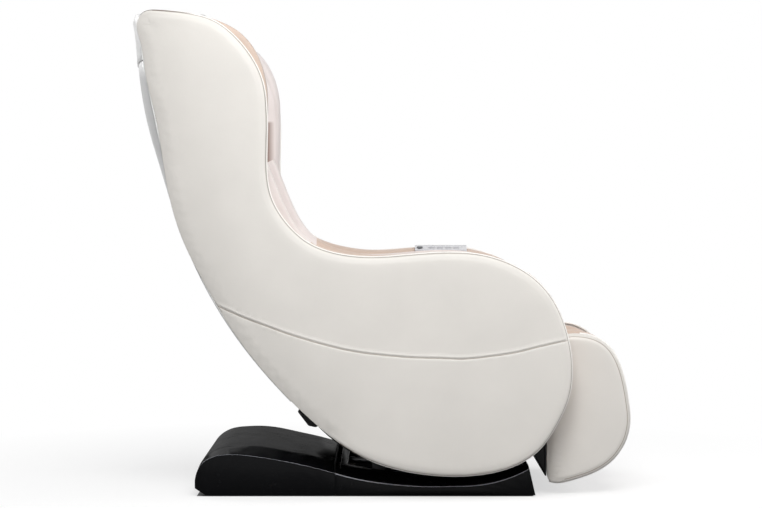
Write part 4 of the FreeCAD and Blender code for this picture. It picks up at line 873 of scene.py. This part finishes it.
class CHAIR_OT_cushions(bpy.types.Operator):
    """Seat and back cushions with their sewn channels"""
    bl_idname = "chair.cushions"
    bl_label = "Seat and back cushions"

    def execute(self, context):
        finish = leather("cushion_upholstery", colours().blush)
        seat = swollen(copy_of("padded_seat", "seat_cushion"), held=((0, 0, -1), (-1, 0, 0)), cap=0.012)
        keep_between(seat, 0.2535)
        channel(seat, lambda p, n: (p[:, 0] - 0.30 + 0.6 * p[:, 1] ** 2, smooth_step(n[:, 2], 0.3, 0.7)),
                0.005, 0.004)
        channel(seat, lambda p, n: (np.abs(p[:, 1]) - 0.165, smooth_step(n[:, 2], 0.3, 0.7)), 0.004, 0.004)
        back = swollen(copy_of("padded_back", "back_cushion"), held=((-1, 0, 0),), cap=0.010)
        keep_between(back, 0.2612)
        channel(back, lambda p, n: (np.abs(p[:, 1]) - 0.150, smooth_step(n[:, 0], 0.3, 0.7)), 0.005, 0.004)
        for angle in BACK_CHANNELS:
            channel(back, lambda p, n, a=math.radians(angle): (
                1.12 * (np.arctan2(1.090 - p[:, 2], 0.750 - p[:, 0]) - a),
                smooth_step(n[:, 0], 0.3, 0.7) * smooth_step(0.154 - np.abs(p[:, 1]), 0, 0.006)),
                0.004, 0.004)
        for piece, node in ((seat, "seat_cushion"), (back, "back_cushion")):
            dressed(piece, "chair_body", "pad_leather", finish, node)
        return {"FINISHED"}


class CHAIR_OT_leg_rest(bpy.types.Operator):
    """Upholstery of the leg rest"""
    bl_idname = "chair.leg_rest"
    bl_label = "Leg rest upholstery"

    def execute(self, context):
        pearl = leather("leg_pearl_upholstery", colours().pearl,
                        # The dark line in the sewn groove is painted shade
                        seams=(("edge", LEG_SEAM, 0.0013, (0.68, 0.62, 0.58), 0.0),),
                        # The rim outside the sewn line gets a darker copy of the pearl: painted shade, toning
                        # down the rim that faces the light
                        parts=rim_shade_part, second=shaded(colours().pearl, 0.95))
        tan = leather("leg_tan_upholstery", colours().tan)
        blush = leather("trough_upholstery", colours().blush)
        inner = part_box("leg_side_panels")[0].y + LEG_PANEL_DEPTH
        rim = face_outline("leg_side_panels", inner, 300)
        rear = rim_run(rim, (0.3745, 0.330), (0.3785, 0.040), (0.374, 0.180))
        panel = bowed_panel("right_leg_panel", rim, inner, LEG_PANEL_DEPTH, (0.024, 0.060), None, rear,
                            (0.0070, 0.0008))
        left = mirrored_copy(panel, "left_leg_panel")
        dressed(panel, "leg_rest", "pearl_fabric", pearl, "leg_side_panels")
        dressed(left, "leg_rest", "pearl_fabric", pearl)
        walls = swollen(copy_of("leg_wall_pads", "leg_walls"), held=((-1, 0, 0),), cap=0.005)
        divider = swollen(copy_of("leg_divider_pad", "leg_divider"), held=((-1, 0, 0),), cap=0.005)
        troughs = swollen(copy_of("leg_troughs", "leg_trough_pads"), held=((-1, 0, 0), (0, 0, -1)), cap=0.004)
        for piece, finish, node, slot in ((walls, tan, "leg_walls", "band_leather"),
                                          (divider, tan, "leg_divider", "band_leather"),
                                          (troughs, blush, "leg_trough_pads", "pad_leather")):
            dressed(piece, "leg_rest", slot, finish, node)
        return {"FINISHED"}


class CHAIR_OT_seams(bpy.types.Operator):
    """Finish of the sewn cords of the leg rest"""
    bl_idname = "chair.seams"
    bl_label = "Leg rest cords"

    def execute(self, context):
        # The cord's near white is partly painted highlight
        finish = leather("leg_bead", colours().seam, 1.4)
        finished_node("leg_piping", finish, 0.0)
        return {"FINISHED"}


class CHAIR_OT_rear(bpy.types.Operator):
    """Finishes of the rear shell, cap, vent and power inlet"""
    bl_idname = "chair.rear"
    bl_label = "Rear shell"

    def execute(self, context):
        shell = moulded("shell_moulding", colours().grey, 0.36, coat=0.15)
        for name in ("back_shell", "top_cap"):
            finished_node(name, shell, 0.0015)
        dark = moulded("vent_moulding", colours().black, 0.42, sheen=0.3)
        for name in ("back_vent", "power_plate"):
            finished_node(name, dark, 0.0006)
        finished_node("power_rocker", moulded("switch_moulding", (0.16, 0.16, 0.165), 0.3), 0.0006)
        return {"FINISHED"}


def joint_seal():
    """Rubber seal over the joint between the base's two mouldings, up both walls and over the top."""
    x = (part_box("base_rear_hood")[1].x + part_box("base_front_deck")[0].x) / 2
    hood = NODES["base_rear_hood"]
    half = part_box("base_rear_hood")[1].y
    over = []
    for y in np.linspace(-half + 0.003, half - 0.003, 120):
        hit, place, *_ = hood.ray_cast(Vector((x - 0.004, y, 0.3)), Vector((0, 0, -1)))
        if hit:
            over.append((x, y, place.z))
    run = [(x, -half, 0.004), (x, -half, over[0][2] - 0.002)] + over
    run += [(x, half, over[-1][2] - 0.002), (x, half, 0.004)]
    seal = bead("base_joint_seal", run, 0.0019)
    rubber = moulded("seal_rubber", (0.05, 0.05, 0.055), 0.8, 900.0, 0.0002, sheen=0.05)
    dressed(seal, "base", "black_plastic", rubber)


def top_edge_highlight(half):
    """A highlight painted along the outer top edges of both walls, with stronger reflection there as well;
    plain on the inner and upright edges.
    """
    finish, tree, shader, place = blank_finish("painted_edge_highlight", 0.3)
    outer = ranged(tree, maths(tree, "ABSOLUTE", apart(tree, place)[1]), 0.0, 1.0, half - 0.006, half - 0.004)
    upward = apart(tree, node_of(tree, "ShaderNodeNewGeometry").outputs["True Normal"])[2]
    bright = product(tree, outer, ranged(tree, upward, 0.0, 1.0, 0.15, 0.35))
    tone = mixed(tree, bright, tuple(colours().black), EDGE_HIGHLIGHT_PAINT)
    wired(tree, shader, tone, bumped(tree, noise(tree, place, 300.0, 2.0), 0.25, 0.00004))
    tree.links.new(ranged(tree, bright, 0.06, 0.6), shader.inputs["Specular IOR Level"])
    return finish


class CHAIR_OT_base(bpy.types.Operator):
    """Finishes of the base mouldings, feet and wheels"""
    bl_idname = "chair.base"
    bl_label = "Base"

    def execute(self, context):
        gloss = moulded("base_moulding", colours().black, 0.24, 300.0, 0.00004, 0.0, 0.10, 0.0006)
        # The outer top edges get a painted highlight besides their real reflection
        edge_highlight = top_edge_highlight(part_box("base_front_deck")[1].y)
        for name in ("base_rear_hood", "base_front_deck"):
            finished_node(name, gloss, 0.0013, edge_highlight)
        joint_seal()
        dark = moulded("cover_moulding", colours().black, 0.45, sheen=0.3, grazing=0.05)
        for name in ("underside_covers", "leg_rear_cover"):
            finished_node(name, dark, 0.002)
        rubber = moulded("wheel_rubber", (0.15, 0.15, 0.15), 0.75, 900.0, 0.0003)
        for name in ("foot_pads", "transport_wheels"):
            finished_node(name, rubber, 0.001)
        return {"FINISHED"}


class CHAIR_OT_controls(bpy.types.Operator):
    """Finishes of the arm controls"""
    bl_idname = "chair.controls"
    bl_label = "Arm controls"

    def execute(self, context):
        finished_node("control_panel", moulded("control_housing", colours().silver, 0.25, coat=0.4), 0.0012)
        finished_node("power_button", moulded("round_button_cap", (0.30, 0.31, 0.33), 0.28), 0.0008)
        key = moulded("key_cap", (0.70, 0.70, 0.72), 0.35)
        for number in range(1, 5):
            finished_node(f"function_key_{number}", key, 0.0006)
        return {"FINISHED"}


class CHAIR_OT_mechanism(bpy.types.Operator):
    """Finishes of the frames, drives and massage parts"""
    bl_idname = "chair.mechanism"
    bl_label = "Frames and drives"

    def execute(self, context):
        painted = moulded("black_paint", (0.12, 0.12, 0.125), 0.42, 500.0)
        for name in ("carriage_frame", "massage_track", "seat_frame", "cradle_pan", "cradle_rails",
                     "base_frame", "leg_frame"):
            finished_node(name, painted, 0.0006)
        bright = steel("ground_steel", (0.56, 0.56, 0.57), 0.36)
        for name in ("knead_shaft", "upper_guide_axle", "lower_guide_axle", "leg_rod", "recline_rod",
                     "front_cradle_rollers", "rear_cradle_rollers"):
            finished_node(name, bright, 0.0006)
        housing = moulded("drive_housing", (0.20, 0.20, 0.21), 0.5)
        for name in ("carriage_gearmotors", "leg_actuator", "recline_actuator", "air_pump_and_valves",
                     "left_massage_arm", "right_massage_arm"):
            finished_node(name, housing, 0.0012)
        finished_node("electric_boxes", moulded("box_moulding", (0.55, 0.55, 0.56), 0.5), 0.0015)
        finished_node("side_airbags", woven("air_cell_cloth", (0.42, 0.44, 0.47), 320.0), 0.003)
        finished_node("plywood_frames", plywood("frame_plywood"), 0.0008)
        finished_node("seat_board", leather("board_cover", colours().blush), 0.0015)
        rubber = moulded("roller_rubber", (0.17, 0.17, 0.175), 0.7, 700.0, 0.0003)
        for height in ("upper", "lower"):
            for side in ("left", "right"):
                finished_node(f"{side}_{height}_roller", rubber, 0.0015)
        return {"FINISHED"}


class CHAIR_OT_stage(bpy.types.Operator):
    """Camera, soft light, white surround and pale floor"""
    bl_idname = "chair.stage"
    bl_label = "Camera and studio"

    def execute(self, context):
        scene = context.scene
        scene.view_settings.view_transform = "Standard"
        select_none()
        bpy.ops.object.camera_add(location=CAMERA_PLACE, rotation=(math.radians(90 - CAMERA_DOWN), 0, 0))
        camera = context.object
        camera.data.lens = CAMERA_LENS
        camera.data.sensor_width = 36
        scene.camera = camera
        world = bpy.data.worlds.new("studio")
        scene.world = world
        world.use_nodes = True
        white_for_camera(world.node_tree, (0.98, 0.985, 1.0), 0.29)
        bpy.ops.mesh.primitive_plane_add(size=16, location=(0, 0, -0.0005))
        floor = context.object
        floor.name = "studio_floor"
        floor.data.materials.append(floor_finish())
        for place, size, power, colour in LAMPS:
            aim = (Vector((0, 0, 0.5)) - Vector(place)).to_track_quat("-Z", "Y").to_euler()
            bpy.ops.object.light_add(type="AREA", location=place, rotation=aim)
            lamp = context.object.data
            lamp.size = size
            lamp.energy = power
            lamp.color = colour
        return {"FINISHED"}


def either(tree, share, first, second):
    """Two shaders mixed by a share of the second."""
    made = tree.nodes.new("ShaderNodeMixShader")
    for socket, value in zip(made.inputs, (share, first, second)):
        tree.links.new(value, socket)
    return made.outputs[0]


def white_for_camera(tree, colour, strength):
    """The surround lights softly, and shows white to the camera and in reflections."""
    tree.nodes.clear()
    path = tree.nodes.new("ShaderNodeLightPath")
    soft = node_of(tree, "ShaderNodeBackground", Color=(*colour, 1), Strength=strength)
    plain = node_of(tree, "ShaderNodeBackground", Color=(1, 1, 1, 1), Strength=1.0)
    seen = path.outputs["Is Camera Ray"]
    for name in ("Is Glossy Ray", "Is Transmission Ray"):
        seen = maths(tree, "MAXIMUM", seen, path.outputs[name])
    out = tree.nodes.new("ShaderNodeOutputWorld")
    tree.links.new(either(tree, seen, soft.outputs[0], plain.outputs[0]), out.inputs["Surface"])


def outside_base(tree, place):
    """1 on the open floor, 0 under the base, where no light reaches."""
    low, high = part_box("base_rear_hood")[0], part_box("base_front_deck")[1]
    gaps = []
    for part, a, b in zip(apart(tree, place), low[:2], high[:2]):
        away = maths(tree, "ABSOLUTE", maths(tree, "SUBTRACT", part, (a + b) / 2))
        gaps.append(maths(tree, "GREATER_THAN", away, (b - a) / 2 - 0.004))
    return maths(tree, "MAXIMUM", *gaps)


def floor_finish():
    """Pale floor that keeps the chair's shadow and meets the white surround."""
    finish = bpy.data.materials.new("studio_floor")
    finish.use_nodes = True
    tree = finish.node_tree
    tree.nodes.clear()
    path = tree.nodes.new("ShaderNodeLightPath")
    matt = node_of(tree, "ShaderNodeBsdfDiffuse", Color=(0.44, 0.44, 0.44, 1))
    seen = node_of(tree, "ShaderNodeBsdfDiffuse", Color=(0.42, 0.42, 0.42, 1))
    lift = node_of(tree, "ShaderNodeEmission", Color=(1, 1, 1, 1))
    plain = node_of(tree, "ShaderNodeEmission", Color=(1, 1, 1, 1), Strength=1.0)
    both = tree.nodes.new("ShaderNodeAddShader")
    far = node_of(tree, "ShaderNodeVectorMath", operation="LENGTH")
    place = tree.nodes.new("ShaderNodeTexCoord").outputs["Object"]
    tree.links.new(place, far.inputs[0])
    tree.links.new(product(tree, outside_base(tree, place), FLOOR_LIFT), lift.inputs["Strength"])
    tree.links.new(seen.outputs[0], both.inputs[0])
    tree.links.new(lift.outputs[0], both.inputs[1])
    away = ranged(tree, far.outputs["Value"], 0.0, 1.0, 0.62, 1.5)
    faded = either(tree, away, both.outputs[0], plain.outputs[0])
    out = tree.nodes.new("ShaderNodeOutputMaterial")
    tree.links.new(either(tree, path.outputs["Is Camera Ray"], matt.outputs[0], faded), out.inputs["Surface"])
    return finish


OPERATORS = (CHAIR_OT_stage, CHAIR_OT_side_panels, CHAIR_OT_edge_bands, CHAIR_OT_arm_pads,
             CHAIR_OT_cushions, CHAIR_OT_leg_rest, CHAIR_OT_seams, CHAIR_OT_rear, CHAIR_OT_base,
             CHAIR_OT_controls, CHAIR_OT_mechanism)


class CHAIR_PT_panel(bpy.types.Panel):
    """Lists the chair's pieces, sizes and colours"""
    bl_idname = "CHAIR_PT_panel"
    bl_label = "Massage chair"
    bl_space_type = "VIEW_3D"
    bl_region_type = "UI"
    bl_category = "Chair"

    def draw(self, context):
        for operator in OPERATORS:
            self.layout.operator(operator.bl_idname)
        for group in (context.scene.chair_sizes, context.scene.chair_colours):
            for name in group.bl_rna.properties.keys():
                if name not in ("rna_type", "name"):
                    self.layout.prop(group, name)


CLASSES = (ChairSizes, ChairColours, *OPERATORS, CHAIR_PT_panel)


def register():
    for item in CLASSES:
        bpy.utils.register_class(item)
    bpy.types.Scene.chair_sizes = PointerProperty(type=ChairSizes)
    bpy.types.Scene.chair_colours = PointerProperty(type=ChairColours)


def unregister():
    del bpy.types.Scene.chair_colours
    del bpy.types.Scene.chair_sizes
    for item in reversed(CLASSES):
        bpy.utils.unregister_class(item)


def main():
    register()
    for operator in OPERATORS:
        group, name = operator.bl_idname.split(".")
        getattr(getattr(bpy.ops, group), name)()


if __name__ == "__main__":
    main()
